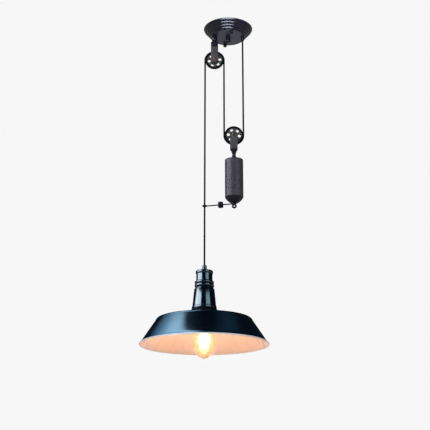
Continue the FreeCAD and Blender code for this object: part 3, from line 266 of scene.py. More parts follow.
def tubeAlong(name, path, radius, sides):
    # The path, in metres, keeps to the plane of X and Z.
    shape = bmesh.new()
    rings = []
    for index, place in enumerate(path):
        ahead = path[min(index + 1, len(path) - 1)] - path[max(index - 1, 0)]
        across = Vector((0, 1, 0)).cross(ahead).normalized()
        out = ahead.cross(across).normalized()
        spokes = [across * math.cos(angle) + out * math.sin(angle) for angle in roundTurn(sides)]
        rings.append([shape.verts.new(place + spoke * radius * mm) for spoke in spokes])
    for first, second in zip(rings, rings[1:]):
        bridge(shape, first, second)
    shape.faces.new(rings[0][::-1])
    shape.faces.new(rings[-1])
    return asPiece(name, shape, 40)


def together(name, parts):
    shape = bmesh.new()
    for part in parts:
        bpy.context.view_layer.update()
        mesh = part.data.copy()
        mesh.transform(part.matrix_world)
        shape.from_mesh(mesh)
        bpy.data.meshes.remove(mesh)
        bpy.data.objects.remove(part)
    mesh = bpy.data.meshes.new(name)
    shape.to_mesh(mesh)
    shape.free()
    return addObject(name, mesh)


def soften(piece, width):
    bevel = piece.modifiers.new("soft_edges", "BEVEL")
    bevel.width = width * mm
    bevel.segments = 2
    bevel.limit_method = "ANGLE"
    bevel.angle_limit = math.radians(creaseAngle)
    bevel.harden_normals = False
    return piece


def fit(piece, body, finishes, node):
    for finish in finishes:
        piece.data.materials.append(finish)
    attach(piece, body)
    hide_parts(node)


def dress(finish, *nodes):
    # A solid whose shape is right keeps it and gets its finish here.
    for node in nodes:
        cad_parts[node].data.materials.clear()
        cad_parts[node].data.materials.append(finish)


# Cords first: one flex, drawn as three taut runs and two half turns.

cord = {
    "radius": 2.5,
    "colour": (0.0045, 0.0045, 0.005), "patch": (0.0065, 0.0065, 0.007), "patchScale": 60,
    "dust": (0.015, 0.015, 0.015), "dustAmount": 0.10, "dustScale": 1400,
    "rough": 0.6, "roughSpread": 0.06, "shine": 0.015,
    "skinScale": 900, "skinStrength": 0.05, "skinDepth": 0.03,
    "runSteps": 60, "wrapSteps": 24, "sides": 20,
}
cordFinish = coated("cord_flex", cord)


def routeLine(points, steps):
    # The smooth line through a route, as Blender draws it.
    data = bpy.data.curves.new("route", "CURVE")
    data.dimensions = "3D"
    data.resolution_u = steps
    spline = data.splines.new("NURBS")
    spline.points.add(len(points) - 1)
    for point, place in zip(spline.points, points):
        point.co = (*metres(place), 1)
    spline.order_u = 3
    spline.use_endpoint_u = True
    carrier = addObject("route", data)
    bpy.context.view_layer.update()
    line = bpy.data.meshes.new_from_object(carrier)
    path = [vertex.co.copy() for vertex in line.vertices]
    bpy.data.objects.remove(carrier)
    bpy.data.curves.remove(data)
    bpy.data.meshes.remove(line)
    return path


def cordPiece(name, points, steps, node):
    path = routeLine(points, steps)
    piece = tubeAlong(name, path, cord["radius"], cord["sides"])
    piece.data.materials.append(cordFinish)
    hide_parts(node)
    return piece


wheelPlace = {
    "pitchRadius": 28.5,
    "upper": (-41.5, 0, -105),
    "lower": (15.5, 0, -350),
}
cordRoutes = {
    "lampRun": [(-70, 0, -746), (-70, 0, -716), (-70, 0, -135), (-70, 0, -105)],
    "middleRun": [(-13, 0, -105), (-13, 0, -135), (-13, 0, -320), (-13, 0, -350)],
    "canopyRun": [(44, 0, -38), (44, 0, -68), (44, 0, -320), (44, 0, -350)],
}


def halfTurn(centre, radius, way):
    # Corners of a half turn over (way 1) or under (way -1) a wheel.
    reach = radius / math.cos(math.radians(22.5))
    turns = [math.radians(angle) for angle in (157.5, 112.5, 67.5, 22.5)]
    middle = [(centre[0] + reach * math.cos(turn), 0, centre[2] + way * reach * math.sin(turn))
              for turn in turns]
    return [(centre[0] - radius, 0, centre[2]), *middle, (centre[0] + radius, 0, centre[2])]


lampRun = cordPiece("cord_to_lamp", cordRoutes["lampRun"], cord["runSteps"], "lamp_cord_run")
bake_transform(lampRun)
middleRun = cordPiece("cord_between_wheels", cordRoutes["middleRun"], cord["runSteps"], "middle_cord_run")
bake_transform(middleRun)
canopyRun = cordPiece("cord_from_canopy", cordRoutes["canopyRun"], cord["runSteps"], "canopy_cord_run")
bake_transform(canopyRun)
for side, way, body in (("upper", 1, "ceiling_side"), ("lower", -1, "counterweight")):
    route = halfTurn(wheelPlace[side], wheelPlace["pitchRadius"], way)
    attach(cordPiece(f"cord_on_{side}_wheel", route, cord["wrapSteps"], f"{side}_cord_wrap"), body)
print("cords laid")


# Canopy and what is fixed under it.

blackEnamel = {
    "colour": (0.0012, 0.0022, 0.0050), "patch": (0.0022, 0.0034, 0.0070), "patchScale": 9,
    "dust": (0.015, 0.02, 0.025), "dustAmount": 0.05, "dustScale": 700,
    "rubbed": (0.03, 0.03, 0.04), "rubAmount": 0.15,
    "rough": 0.15, "roughSpread": 0.03, "shine": 0.45, "shineTint": (0.82, 0.90, 1.0),
    "skinScale": 90, "skinStrength": 0.02, "skinDepth": 0.03,
}
enamelFinish = coated("black_enamel", blackEnamel)
flareFinish = coated("shaded_enamel", {**blackEnamel, "shine": 0.01, "rough": 0.45})

cupPaint = {
    "colour": (0.007, 0.006, 0.012), "patch": (0.010, 0.009, 0.016), "patchScale": 12,
    "dust": (0.02, 0.02, 0.03), "dustAmount": 0.05, "dustScale": 700,
    "rough": 0.22, "roughSpread": 0.02, "shine": 0.18, "shineTint": (0.85, 0.88, 1.0),
    "skinScale": 60, "skinStrength": 0.01, "skinDepth": 0.02,
}
# Painted light: the canopy's flat plate is painted lighter and bluer than the cup, standing in for the light
# that falls on it.
plateLightLook = {
    "colour": (0.034, 0.037, 0.066), "patch": (0.040, 0.042, 0.072), "patchScale": 26,
    "dust": (0.08, 0.08, 0.10), "dustAmount": 0.08, "dustScale": 700,
    "rough": 0.36, "roughSpread": 0.04, "shine": 0.30, "shineTint": (0.80, 0.86, 1.0),
    "skinScale": 300, "skinStrength": 0.06, "skinDepth": 0.04,
}
canopyFinishes = [coated("cup_paint", cupPaint), coated("plate_painted_light", plateLightLook)]

satinBlack = {
    "colour": (0.008, 0.008, 0.012), "patch": (0.012, 0.011, 0.016), "patchScale": 22,
    "dust": (0.05, 0.05, 0.055), "dustAmount": 0.12, "dustScale": 1300,
    "rubbed": (0.07, 0.07, 0.07), "rubAmount": 0.3,
    "rough": 0.36, "roughSpread": 0.05, "shine": 0.08, "shineTint": (0.85, 0.88, 1.0),
    "skinScale": 520, "skinStrength": 0.16,
}
satinFinish = coated("satin_black", satinBlack)


def fitSatin(piece, body, node):
    fit(piece, body, [satinFinish], node)


canopyShape = {
    "rimRadius": 74.0, "plateRadius": 50.5, "depth": 28.0, "rolls": 4, "rollBulge": 0.9, "sheet": 1.0,
    "rimRound": 0.5, "plateRound": 0.6,
}


def makeCanopy(rimRadius, plateRadius, depth, rolls, rollBulge, sheet, rimRound, plateRound):
    run = rimRadius - plateRadius
    slant = math.hypot(run, depth)
    outX, outZ = sheet * depth / slant, sheet * run / slant
    creases = [(rimRadius - run * step / rolls, -depth * step / rolls) for step in range(1, rolls)]
    corners = [(rimRadius - sheet, 0), (rimRadius - rimRound, 0), (rimRadius, -rimRound, rollBulge * 0.95)]
    corners += [(x, z, rollBulge) for x, z in creases]
    corners.append((plateRadius, plateRound - depth, 0.2))
    plate = len(corners)
    corners += [(plateRadius - plateRound, -depth), (0, -depth), (0, sheet - depth),
                (plateRadius - sheet, sheet - depth, -rollBulge)]
    corners += [(x - outX, z + outZ, -rollBulge) for x, z in reversed(creases)]
    # the plate takes the second finish, its painted light
    piece = turned("canopy_cup", corners, (0, 0, 0), steps=160, paintOf=lambda mark: int(mark == plate))
    fit(piece, "ceiling_side", canopyFinishes, "canopy")


makeCanopy(**canopyShape)

nutShape = {
    "radius": 5.5, "top": -28.0, "height": 9.0, "ribs": 26, "ribDepth": 0.45, "chamfer": 1.0,
    "places": ((8.94, -42.06, 0), (-8.94, 42.06, 0)),
}


def makeNuts(radius, top, height, ribs, ribDepth, chamfer, places):
    foot = top - height
    low, high = foot + chamfer + 0.4, top - 2.6
    corners = [(0, foot), (radius - chamfer - 0.4, foot), (radius - 0.2, foot + chamfer), (radius, low),
               (radius, high), (radius - 0.7, top - 2.3), (radius - 0.7, top - 1.8),
               (radius, top - 1.5), (radius, top - 0.7), (radius - 0.6, top), (0, top)]
    nuts = [turned("nut", corners, place, ripple=(ribs, ribDepth, low, high)) for place in places]
    fitSatin(together("knurled_nuts", nuts), "ceiling_side", "canopy_nuts")


makeNuts(**nutShape)

finialShape = {"radius": 7.0, "top": -28.0, "height": 16.0, "domeHeight": 5.5, "swell": 2.0, "neck": 6.2}


def makeFinial(radius, top, height, domeHeight, swell, neck):
    foot = top - height
    corners = [(0, foot, -swell), (radius, foot + domeHeight), (radius, top - 3.4), (neck, top - 2.9),
               (neck, top - 2.2), (radius, top - 1.8), (radius, top), (0, top)]
    piece = turned("round_finial", corners, (0, 0, 0), steps=64)
    fitSatin(soften(piece, 0.25), "ceiling_side", "centre_finial")


makeFinial(**finialShape)

hangerShape = {
    "x": -41.5, "top": -28.0, "foot": -40.5, "radius": 8.0, "swell": 1.1, "stemRadius": 4.0,
    "headRadius": 5.0, "headTop": -47.3, "headFoot": -49.8, "threadRadius": 5.0, "threadTop": -16.0,
    "pitch": 1.0,
}


def makeHanger(x, top, foot, radius, swell, stemRadius, headRadius, headTop, headFoot, threadRadius,
               threadTop, pitch):
    corners = [(0, headFoot), (headRadius - 1.2, headFoot, -0.5), (headRadius, headTop - 0.8),
               (headRadius, headTop), (stemRadius, headTop), (stemRadius, foot), (radius - 1.0, foot),
               (radius - 0.2, foot + 0.6, -swell), (radius - 0.2, top - 0.8), (radius, top - 0.5),
               (radius, top), (threadRadius, top)]
    height = top
    while height + pitch + 0.2 < threadTop:
        corners += [(threadRadius, height + 0.3), (threadRadius - 0.55, height + 0.75)]
        height += pitch
    corners += [(threadRadius - 0.5, threadTop), (0, threadTop)]
    piece = turned("hanger_barrel", corners, (x, 0, 0), steps=72)
    fitSatin(soften(piece, 0.15), "ceiling_side", "hanger_stem")


makeHanger(**hangerShape)

glandShape = {
    "x": 44.0, "top": -28.0, "collarFoot": -33.0, "noseFoot": -38.0, "radius": 5.8, "noseRadius": 4.2,
    "ribs": 20, "ribDepth": 0.35, "threadRadius": 4.0, "threadTop": -23.0, "bore": 2.6,
}


def makeGland(x, top, collarFoot, noseFoot, radius, noseRadius, ribs, ribDepth, threadRadius, threadTop,
              bore):
    low, high = collarFoot + 0.3, top - 0.6
    corners = [(bore, noseFoot), (noseRadius - 0.5, noseFoot), (noseRadius, noseFoot + 0.5),
               (radius - 0.7, collarFoot - 0.4), (radius, low), (radius, high), (radius - 0.4, top),
               (threadRadius, top), (threadRadius, threadTop), (bore, threadTop)]
    piece = turned("cord_gland_cap", corners, (x, 0, 0), ripple=(ribs, ribDepth, low, high))
    fitSatin(piece, "ceiling_side", "cord_gland")


makeGland(**glandShape)
print("canopy made")


# Pulley blocks.

strapGrey = {
    "colour": (0.072, 0.070, 0.074), "patch": (0.086, 0.084, 0.088), "patchScale": 30,
    "dust": (0.12, 0.12, 0.12), "dustAmount": 0.10, "dustScale": 800,
    "rubbed": (0.20, 0.19, 0.18), "rubAmount": 0.4,
    "rough": 0.42, "roughSpread": 0.04, "shine": 0.03,
    "skinScale": 400, "skinStrength": 0.08, "skinDepth": 0.04,
}
strapFinish = coated("strap_paint", strapGrey)
# Painted shade: the top of the upper strap's bend is painted near black, standing in for the shade under the
# canopy.
bendShadeLook = {
    "colour": (0.010, 0.008, 0.020), "patch": (0.015, 0.012, 0.026), "patchScale": 30,
    "dust": (0.06, 0.06, 0.07), "dustAmount": 0.10, "dustScale": 1300,
    "rubbed": (0.10, 0.09, 0.12), "rubAmount": 0.4,
    "rough": 0.38, "roughSpread": 0.05, "shine": 0.05,
    "skinScale": 600, "skinStrength": 0.12,
}
bendShadeFinish = coated("bend_painted_shade", bendShadeLook)

strapShape = {
    "width": 22.0, "thickness": 2.5, "edgeRound": 0.55, "halfSpan": 9.25,
    "upper": {"x": -41.5, "end": -116.0, "bendAt": -53.5, "shadeAbove": -65.0},
    "lower": {"x": 15.5, "end": -339.0, "bendAt": -391.5, "shadeAbove": 0.0},
    "cornerBend": 3.25,
}


def mirrored(stations):
    return [(-y, z, -outY, outZ) for y, z, outY, outZ in reversed(stations)]


def strapLeg(end, bendAt):
    # Stations of one leg, from its rounded end to its bend: y, z and the way that the strap faces.
    reach = strapShape["width"] / 2
    way = math.copysign(1, bendAt - end)
    start = end + way * reach
    heights = [start - way * reach * math.cos(math.radians(angle)) for angle in range(3, 91, 6)]
    heights += [start + (bendAt - start) * step / 5 for step in range(1, 5)]
    return [(-strapShape["halfSpan"], height, -1, 0) for height in heights]


def strapBend(y, z, radius, way, sweep, steps):
    turns = [math.radians(sweep) * step / steps for step in range(steps + 1)]
    return [(y - radius * math.cos(turn), z + way * radius * math.sin(turn),
             -math.cos(turn), way * math.sin(turn)) for turn in turns]


def strapPiece(name, stations, look):
    shape = bmesh.new()
    reach, half = strapShape["width"] / 2, strapShape["thickness"] / 2
    end, shadeAbove = look["end"], look["shadeAbove"] * mm
    rings = []
    for y, z, outY, outZ in stations:
        fromEnd = min(abs(z - end), reach)
        wide = math.sqrt(max(reach ** 2 - (reach - fromEnd) ** 2, 0.04))
        edge = min(strapShape["edgeRound"], wide * 0.6)
        ring = []
        for signX, signOut in ((1, 1), (-1, 1), (-1, -1), (1, -1)):
            for angle in (0, 30, 60, 90) if signX * signOut > 0 else (90, 60, 30, 0):
                across = signX * (wide - edge + edge * math.cos(math.radians(angle)))
                out = signOut * (half - edge + edge * math.sin(math.radians(angle)))
                ring.append(shape.verts.new(metres((across, y + outY * out, z + outZ * out))))
        rings.append(ring)
    for first, second in zip(rings, rings[1:]):
        # faces above that height get the painted shade of the bend
        bridge(shape, first, second, int(min(first[0].co.z, second[0].co.z) > shadeAbove))
    for ring in (rings[0], rings[-1]):
        shape.faces.new(ring).smooth = True
    return asPiece(name, shape, 38, (look["x"], 0, 0))


def makeStraps(halfSpan, cornerBend, upper, lower):
    leg = strapLeg(upper["end"], upper["bendAt"])
    stations = leg + strapBend(0, upper["bendAt"], halfSpan, 1, 180, 32) + mirrored(leg)
    piece = strapPiece("upper_strap", stations, upper)
    fit(piece, "ceiling_side", [strapFinish, bendShadeFinish], "upper_yoke")
    leg = strapLeg(lower["end"], lower["bendAt"])
    leg += strapBend(cornerBend - halfSpan, lower["bendAt"], cornerBend, -1, 90, 8)
    piece = strapPiece("lower_strap", leg + mirrored(leg), lower)
    fit(piece, "counterweight", [strapFinish], "lower_yoke")


makeStraps(strapShape["halfSpan"], strapShape["cornerBend"], strapShape["upper"], strapShape["lower"])

copperLook = {
    "colour": (0.12, 0.050, 0.042), "lineColour": (0.095, 0.040, 0.034), "dull": (0.06, 0.03, 0.025),
    "dullAmount": 0.5, "lineScale": 900, "lineStretch": (1, 0.2, 1), "rough": 0.38, "roughSpread": 0.08,
    "lineStrength": 0.12,
}
brassLook = {**copperLook, "colour": (0.10, 0.078, 0.038), "lineColour": (0.08, 0.062, 0.030),
             "dull": (0.05, 0.04, 0.02), "rough": 0.36}
copperFinish = machined("copper_end", copperLook)
brassFinish = machined("brass", brassLook)

axleShape = {"radius": 3.0, "headRadius": 4.5, "under": 10.5, "end": 12.5, "dimple": 0.5}


def makeAxle(side, finish, slot, body, radius, headRadius, under, end, dimple):
    low = [(0, dimple - end), (0.9, 0.15 - end), (1.4, -end), (headRadius - 1.1, -end, -0.25),
           (headRadius, 0.9 - end), (headRadius, -under), (radius, -under)]
    high = [(radius, under), (headRadius, under), (headRadius, end - 0.9, -0.25), (headRadius - 1.1, end),
            (1.4, end), (0.9, end - 0.15), (0, end - dimple)]
    piece = turned(f"{side}_axle_pin", low + high, wheelPlace[side], along="y", steps=48)
    fit(piece, body, [finish], f"{side}_axle")


makeAxle("upper", copperFinish, "copper", "ceiling_side", **axleShape)
makeAxle("lower", brassFinish, "brass", "counterweight", **axleShape)

wheelRim = {
    "colour": (0.005, 0.005, 0.006), "patch": (0.009, 0.009, 0.010), "patchScale": 40,
    "dust": (0.06, 0.06, 0.06), "dustAmount": 0.12,
    "rubbed": (0.07, 0.07, 0.07), "rubAmount": 0.4,
    "rough": 0.36, "roughSpread": 0.06, "shine": 0.03,
    "skinScale": 700, "skinStrength": 0.15,
}
wheelWeb = {
    "colour": (0.075, 0.075, 0.080), "patch": (0.095, 0.095, 0.100), "patchScale": 50,
    "dust": (0.20, 0.20, 0.20), "dustAmount": 0.2,
    "rubbed": (0.34, 0.34, 0.34), "rubAmount": 0.4,
    "rough": 0.46, "roughSpread": 0.08, "shine": 0.10,
    "skinScale": 900, "skinStrength": 0.25,
}
wheelFinishes = [coated("wheel_rim", wheelRim), coated("wheel_web", wheelWeb)]

wheelShape = {
    "bore": 4.51, "hub": 7.5, "halfHub": 6.0, "rim": 22.7, "flange": 27.5, "halfRim": 5.0, "web": 1.7,
    "lip": 2.615, "grooveDepth": 1.8, "fillet": 1.0, "holes": 6, "holeRadius": 4.65, "holeCircle": 16.3,
    "chamfer": 0.35, "turns": {"upper": 9.0, "lower": 52.0},
}


def makeWheel(side, body, bore, hub, halfHub, rim, flange, halfRim, web, lip, grooveDepth, fillet, holes,
              holeRadius, holeCircle, chamfer, turns):
    filletBulge = -0.29 * fillet
    half = [(bore, 0.3 - halfHub), (bore + 0.3, -halfHub), (hub - 0.4, -halfHub), (hub, 0.4 - halfHub),
            (hub, -web - fillet, filletBulge), (hub + fillet, -web), (rim - fillet, -web, filletBulge),
            (rim, -web - fillet), (rim, 0.4 - halfRim), (rim + 0.4, -halfRim),
            (flange - 0.6, -halfRim, -0.15), (flange, 0.6 - halfRim)]
    groove = [(flange, -lip - 0.2), (flange - 0.15, 0.15 - lip, grooveDepth - 0.25),
              (flange - 0.15, lip - 0.15), (flange, lip + 0.2)]
    corners = half + groove
    for index in reversed(range(len(half))):
        before = half[index - 1] if index else ()
        corners.append((half[index][0], -half[index][1], before[2] if len(before) == 3 else 0))
    rimSides = range(7, 21)
    piece = turned(f"{side}_pulley", corners, wheelPlace[side], along="y",
                   paintOf=lambda mark: int(mark not in rimSides))
    for finish in wheelFinishes:
        piece.data.materials.append(finish)
    cutters = []
    for angle in roundTurn(holes):
        turn = math.radians(turns[side]) + angle
        place = Vector((holeCircle * math.cos(turn), 0, holeCircle * math.sin(turn)))
        cutters.append(turned("hole_cutter", [
            (0, -web - 1), (holeRadius + chamfer + 1, -web - 1), (holeRadius, chamfer - web),
            (holeRadius, web - chamfer), (holeRadius + chamfer + 1, web + 1), (0, web + 1)],
            place + Vector(wheelPlace[side]), along="y", steps=40))
    cutter = together("hole_cutters", cutters)
    boolean = piece.modifiers.new("round_holes", "BOOLEAN")
    boolean.object = cutter
    boolean.operation = "DIFFERENCE"
    boolean.solver = "EXACT"
    bpy.context.view_layer.update()
    cutMesh = bpy.data.meshes.new_from_object(piece.evaluated_get(bpy.context.evaluated_depsgraph_get()))
    piece.modifiers.clear()
    piece.data = cutMesh
    bpy.data.objects.remove(cutter)
    for face in piece.data.polygons:
        face.use_smooth = True
    piece.data.set_sharp_from_angle(angle=math.radians(creaseAngle))
    fit(piece, body, [], f"{side}_wheel")


makeWheel("upper", "upper_wheel_set", **wheelShape)
makeWheel("lower", "lower_wheel_set", **wheelShape)
print("pulleys made")


# Counterweight and guide arm.

neckShape = {
    "x": 15.5, "top": -396.0, "topRadius": 9.8, "waistRadius": 5.0, "waist": -411.0, "footRadius": 12.5,
    "foot": -428.0, "rivetRadius": 6.0, "rivetTop": -391.0, "rivetFoot": -393.5,
}


def makeNeck(x, top, topRadius, waistRadius, waist, footRadius, foot, rivetRadius, rivetTop, rivetFoot):
    corners = [(0, foot - 4), (5, foot - 4), (5, foot), (footRadius, foot), (footRadius, foot + 1.2, 1.5),
               (waistRadius, waist, 0.5), (topRadius - 0.4, top - 1.2), (topRadius, top - 0.8),
               (topRadius, top), (4, top), (4, rivetFoot), (rivetRadius, rivetFoot),
               (rivetRadius, rivetFoot + 1.2, 0.5), (2.5, rivetTop), (0, rivetTop)]
    fitSatin(turned("weight_waist", corners, (x, 0, 0), steps=72), "counterweight", "weight_neck")


makeNeck(**neckShape)

weightPaint = {
    "colour": (0.058, 0.051, 0.059), "patch": (0.068, 0.061, 0.069), "patchScale": 24,
    "dust": (0.14, 0.14, 0.14), "dustAmount": 0.10, "dustScale": 1200,
    "rubbed": (0.20, 0.19, 0.19), "rubAmount": 0.5,
    "rough": 0.36, "roughSpread": 0.05, "shine": 0.07, "shineTint": (1.0, 0.75, 0.95),
    "skinScale": 60, "skinStretch": (1, 1, 14), "skinStrength": 0.10, "skinDepth": 0.06,
}
# Painted shade: the cone under the weight is painted darker than the body, standing in for the shade on its
# underside.
coneShadeLook = {**weightPaint, "colour": (0.020, 0.019, 0.026), "patch": (0.027, 0.025, 0.033)}
weightFinishes = [coated("weight_paint", weightPaint), coated("cone_painted_shade", coneShadeLook)]

weightShape = {
    "x": 15.5, "top": -428.0, "foot": -544.0, "coneFoot": -560.0, "radius": 26.75, "coneRadius": 12.0,
    "swell": 1.2, "chamfer": 1.2,
}


def makeWeight(x, top, foot, coneFoot, radius, coneRadius, swell, chamfer):
    corners = [(0, top), (radius - chamfer, top, 0.35), (radius, top - chamfer), (radius, foot + 0.8, 0.2),
               (radius - 0.7, foot - 0.6, swell), (coneRadius, coneFoot + 0.6), (coneRadius - 0.7, coneFoot),
               (0, coneFoot)]
    cone = 4
    # the cone's sides take the second finish, its painted shade
    piece = turned("counterweight_body", corners, (x, 0, 0), steps=128,
                   paintOf=lambda mark: int(mark >= cone))
    fit(piece, "counterweight", weightFinishes, "weight_body")


makeWeight(**weightShape)

eyeShape = {
    "x": 15.5, "collarTop": -560.0, "collarFoot": -564.4, "collarRadius": 5.5, "ringZ": -569.7, "outer": 7.3,
    "hole": 2.5, "half": 2.4, "rounding": 1.4,
}


def makeEye(x, collarTop, collarFoot, collarRadius, ringZ, outer, hole, half, rounding):
    ring = [(hole, 0.5 - half, -0.2), (hole + 0.5, -half), (outer - rounding, -half, -rounding),
            (outer - rounding, half), (hole + 0.5, half, -0.2), (hole, half - 0.5)]
    collar = [(0, collarFoot), (collarRadius - 1.2, collarFoot - 0.6), (collarRadius, collarFoot + 0.8),
              (collarRadius, collarTop - 0.6, 0.1), (collarRadius - 0.5, collarTop), (0, collarTop)]
    parts = [turned("eye_ring", ring, (x, 0, ringZ), along="y", steps=64),
             turned("eye_collar", collar, (x, 0, 0), steps=64)]
    fitSatin(together("weight_ring", parts), "counterweight", "weight_eye")


makeEye(**eyeShape)

armShape = {
    "root": (10.0, 0, -563.0), "seat": 3.0, "slope": 5.0, "rodRadius": 1.8, "rodSides": 24, "couplerAt": 34.0,
    "couplerRadius": 9.5, "couplerLength": 15.0, "chamfer": 3.0, "loopRadius": 5.6, "loopRod": 2.0,
    "loopX": -70.0,
}


def makeArm(root, seat, slope, rodRadius, rodSides, couplerAt, couplerRadius, couplerLength, chamfer,
            loopRadius, loopRod, loopX):
    fall = math.radians(slope)

    def onArm(distance):
        return Vector((root[0] - distance * math.cos(fall), 0, root[2] - distance * math.sin(fall)))

    loopAt = (root[0] - loopX - loopRadius) / math.cos(fall)
    inner = tubeAlong("arm_rod", [onArm(-seat) * mm, onArm(couplerAt - 0.5) * mm], rodRadius, rodSides)
    fitSatin(inner, "counterweight", "guide_rod_inner")
    rod = tubeAlong("outer_rod", [onArm(couplerAt + 0.5) * mm, onArm(loopAt) * mm], rodRadius, rodSides)
    loop = turned("loop", [(loopRadius + loopRod * math.cos(turn), loopRod * math.sin(turn))
                           for turn in roundTurn(20)], (loopX, 0, onArm(loopAt).z), steps=64)
    fitSatin(together("arm_rod_with_loop", [rod, loop]), "counterweight", "guide_rod_outer")
    radius, half = couplerRadius, couplerLength / 2
    bead = [(rodRadius, 0.3 - half), (rodRadius + 0.5, -half), (radius - chamfer, -half, -0.5),
            (radius, chamfer - half), (radius, half - chamfer, -0.5), (radius - chamfer, half),
            (rodRadius + 0.5, half), (rodRadius, half - 0.3)]
    coupler = turned("arm_coupler", bead, onArm(couplerAt), steps=72)
    coupler.rotation_euler = (0, math.radians(-90 - slope), 0)
    fitSatin(soften(coupler, 0.3), "counterweight", "guide_coupler")


makeArm(**armShape)
print("counterweight made")


# Lamp: grip, housing, shade and bulb.

gripShape = {"x": -70.0, "top": -746.0, "foot": -762.0, "radius": 7.0, "mouth": 2.6, "ribs": 3, "pitch": 3.2}


def makeGrip(x, top, foot, radius, mouth, ribs, pitch):
    corners = [(mouth, top), (radius - 2.2, top, 0.15), (radius - 0.2, top - 2.2)]
    for rib in range(ribs):
        height = top - 4.0 - rib * pitch
        corners += [(radius, height), (radius, height - 1.4), (radius - 0.7, height - 1.8),
                    (radius - 0.7, height - 2.6)]
    corners += [(radius, foot + 1.6), (radius, foot), (mouth, foot)]
    piece = turned("cord_grip_sleeve", corners, (x, 0, 0), steps=64)
    fit(soften(piece, 0.2), "lamp", [enamelFinish], "cord_grip")


makeGrip(**gripShape)

housingShape = {
    "x": -70.0,
    "outside": [(46.0, -882.5, 1.4), (34.6, -870.4, -0.5), (34.2, -864.6), (33.2, -863.6), (28.6, -816.0),
                (25.6, -811.6), (25.6, -809.6), (26.6, -808.6, -1.1), (26.6, -801.8), (25.5, -800.8),
                (25.5, -800.2), (26.5, -799.2, -1.1), (26.2, -793.0), (25.0, -791.8), (22.9, -791.2),
                (22.9, -771.8), (24.0, -770.8, -1.0), (23.8, -763.6, -0.4), (21.8, -762.0)],
    "inside": [(5.1, -762.0), (5.1, -763.2), (20.8, -763.2), (21.6, -792.0), (24.1, -800.0), (24.1, -810.8),
               (27.2, -815.5), (32.0, -862.5), (33.2, -870.0, -1.4), (44.6, -882.5)],
    "shaded": (0, 5, 6, 8, 9, 10, 13, 15),      # sides: the flare, and the grooves beside the beads
    "edgeRound": 0.35,
}


def makeHousing(x, outside, inside, shaded, edgeRound):
    piece = turned("lamp_housing", outside + inside, (x, 0, 0), steps=144,
                   paintOf=lambda mark: int(mark in shaded))
    fit(soften(piece, edgeRound), "lamp", [enamelFinish, flareFinish], "housing")


makeHousing(**housingShape)

whiteEnamel = {
    "colour": (0.86, 0.84, 0.80), "patch": (0.83, 0.80, 0.75), "patchScale": 7,
    "dust": (0.62, 0.58, 0.52), "dustAmount": 0.10,
    "rough": 0.28, "roughSpread": 0.05, "shine": 0.4,
    "skinScale": 180, "skinStrength": 0.06,
}
rimWear = {
    "colour": (0.92, 0.92, 0.91), "patch": (0.80, 0.80, 0.80), "patchScale": 60,
    "dust": (0.45, 0.43, 0.41), "dustAmount": 0.15, "dustScale": 700,
    "rough": 0.3, "roughSpread": 0.08,
    "skinScale": 300, "skinStrength": 0.2,
}
shadeFinishes = [coated("shade_enamel", {**blackEnamel, "shine": 0.5, "rough": 0.17}),
                 coated("white_enamel", whiteEnamel), coated("pale_rim", rimWear),
                 coated("dome_enamel", {**blackEnamel, "shine": 0.02, "rough": 0.2})]

shadeShape = {
    "x": -70.0, "sheet": 0.7, "hole": 19.9, "top": -882.5, "flat": 47.0,
    "dome": (126.0, -898.8), "domeSwell": 0.5, "shoulder": (135.2, -906.5), "shoulderSwell": 1.9,
    "side": (168.3, -956.4), "paleFrom": (176.992, -967.848), "lip": (179.1, -970.5), "lipHollow": 0.7,
    "edge": (177.8, -972.2), "edgeSwell": 1.4,
}


def makeShade(x, sheet, hole, top, flat, dome, domeSwell, shoulder, shoulderSwell, side, paleFrom, lip,
              lipHollow, edge, edgeSwell):
    slant = sheet * math.hypot(side[0] - shoulder[0], side[1] - shoulder[1]) / (shoulder[1] - side[1])
    inside = [(hole, top - sheet), (flat, top - sheet, domeSwell), (dome[0], dome[1] - sheet, shoulderSwell),
              (shoulder[0] - slant, shoulder[1]), (side[0] - slant, side[1], -lipHollow)]
    rim = [(*edge, -edgeSwell), lip]
    outside = [(*paleFrom, lipHollow), side, (*shoulder, -shoulderSwell)]
    dark = [(*dome, -domeSwell), (flat, top), (hole, top)]
    paints = [1] * len(inside) + [2] * len(rim) + [0] * len(outside) + [3] * len(dark)
    piece = turned("shade_bowl", inside + rim + outside + dark, (x, 0, 0), steps=224,
                   paintOf=lambda mark: paints[mark])
    fit(piece, "lamp", shadeFinishes, "shade")


makeShade(**shadeShape)

holderPlastic = {
    "colour": (0.014, 0.013, 0.013), "patch": (0.022, 0.021, 0.021), "patchScale": 40,
    "dust": (0.14, 0.14, 0.13), "dustAmount": 0.2,
    "rough": 0.38, "roughSpread": 0.06, "shine": 0.3,
    "skinScale": 800, "skinStrength": 0.15, "skinDepth": 0.04,
}
holderFinish = coated("holder_plastic", holderPlastic)

ringShape = {
    "x": -70.0, "top": -883.2, "foot": -890.7, "radius": 29.0, "bore": 19.85, "ribs": 28, "ribDepth": 1.0,
}


def makeShadeRing(x, top, foot, radius, bore, ribs, ribDepth):
    low, high = foot + 0.9, foot + 2.5
    corners = [(bore, foot), (radius - 2.2, foot, -0.3), (radius - 1.2, low), (radius - 1.2, high),
               (radius, foot + 5.0), (radius, top), (bore, top)]
    piece = turned("shade_ring_nut", corners, (x, 0, 0), ripple=(ribs, ribDepth, low, high))
    fit(piece, "lamp", [holderFinish], "shade_ring")


makeShadeRing(**ringShape)

amberLook = {"colour": (1.0, 0.88, 0.66), "roughRange": (0.135, 0.215), "ior": 1.45, "smearScale": 35,
             "skinScale": 30, "skinStrength": 0.04, "skinDepth": 0.2}
bulbShape = {
    "x": -70.0, "wall": 0.8, "seat": -891.0, "capFoot": -899.0, "neck": 12.6, "middle": (20.0, -925.0),
    "wide": (32.0, -980.0), "hollow": 0.9, "swell": 3.2, "tip": -1012.0, "tipSwell": 5.2,
}


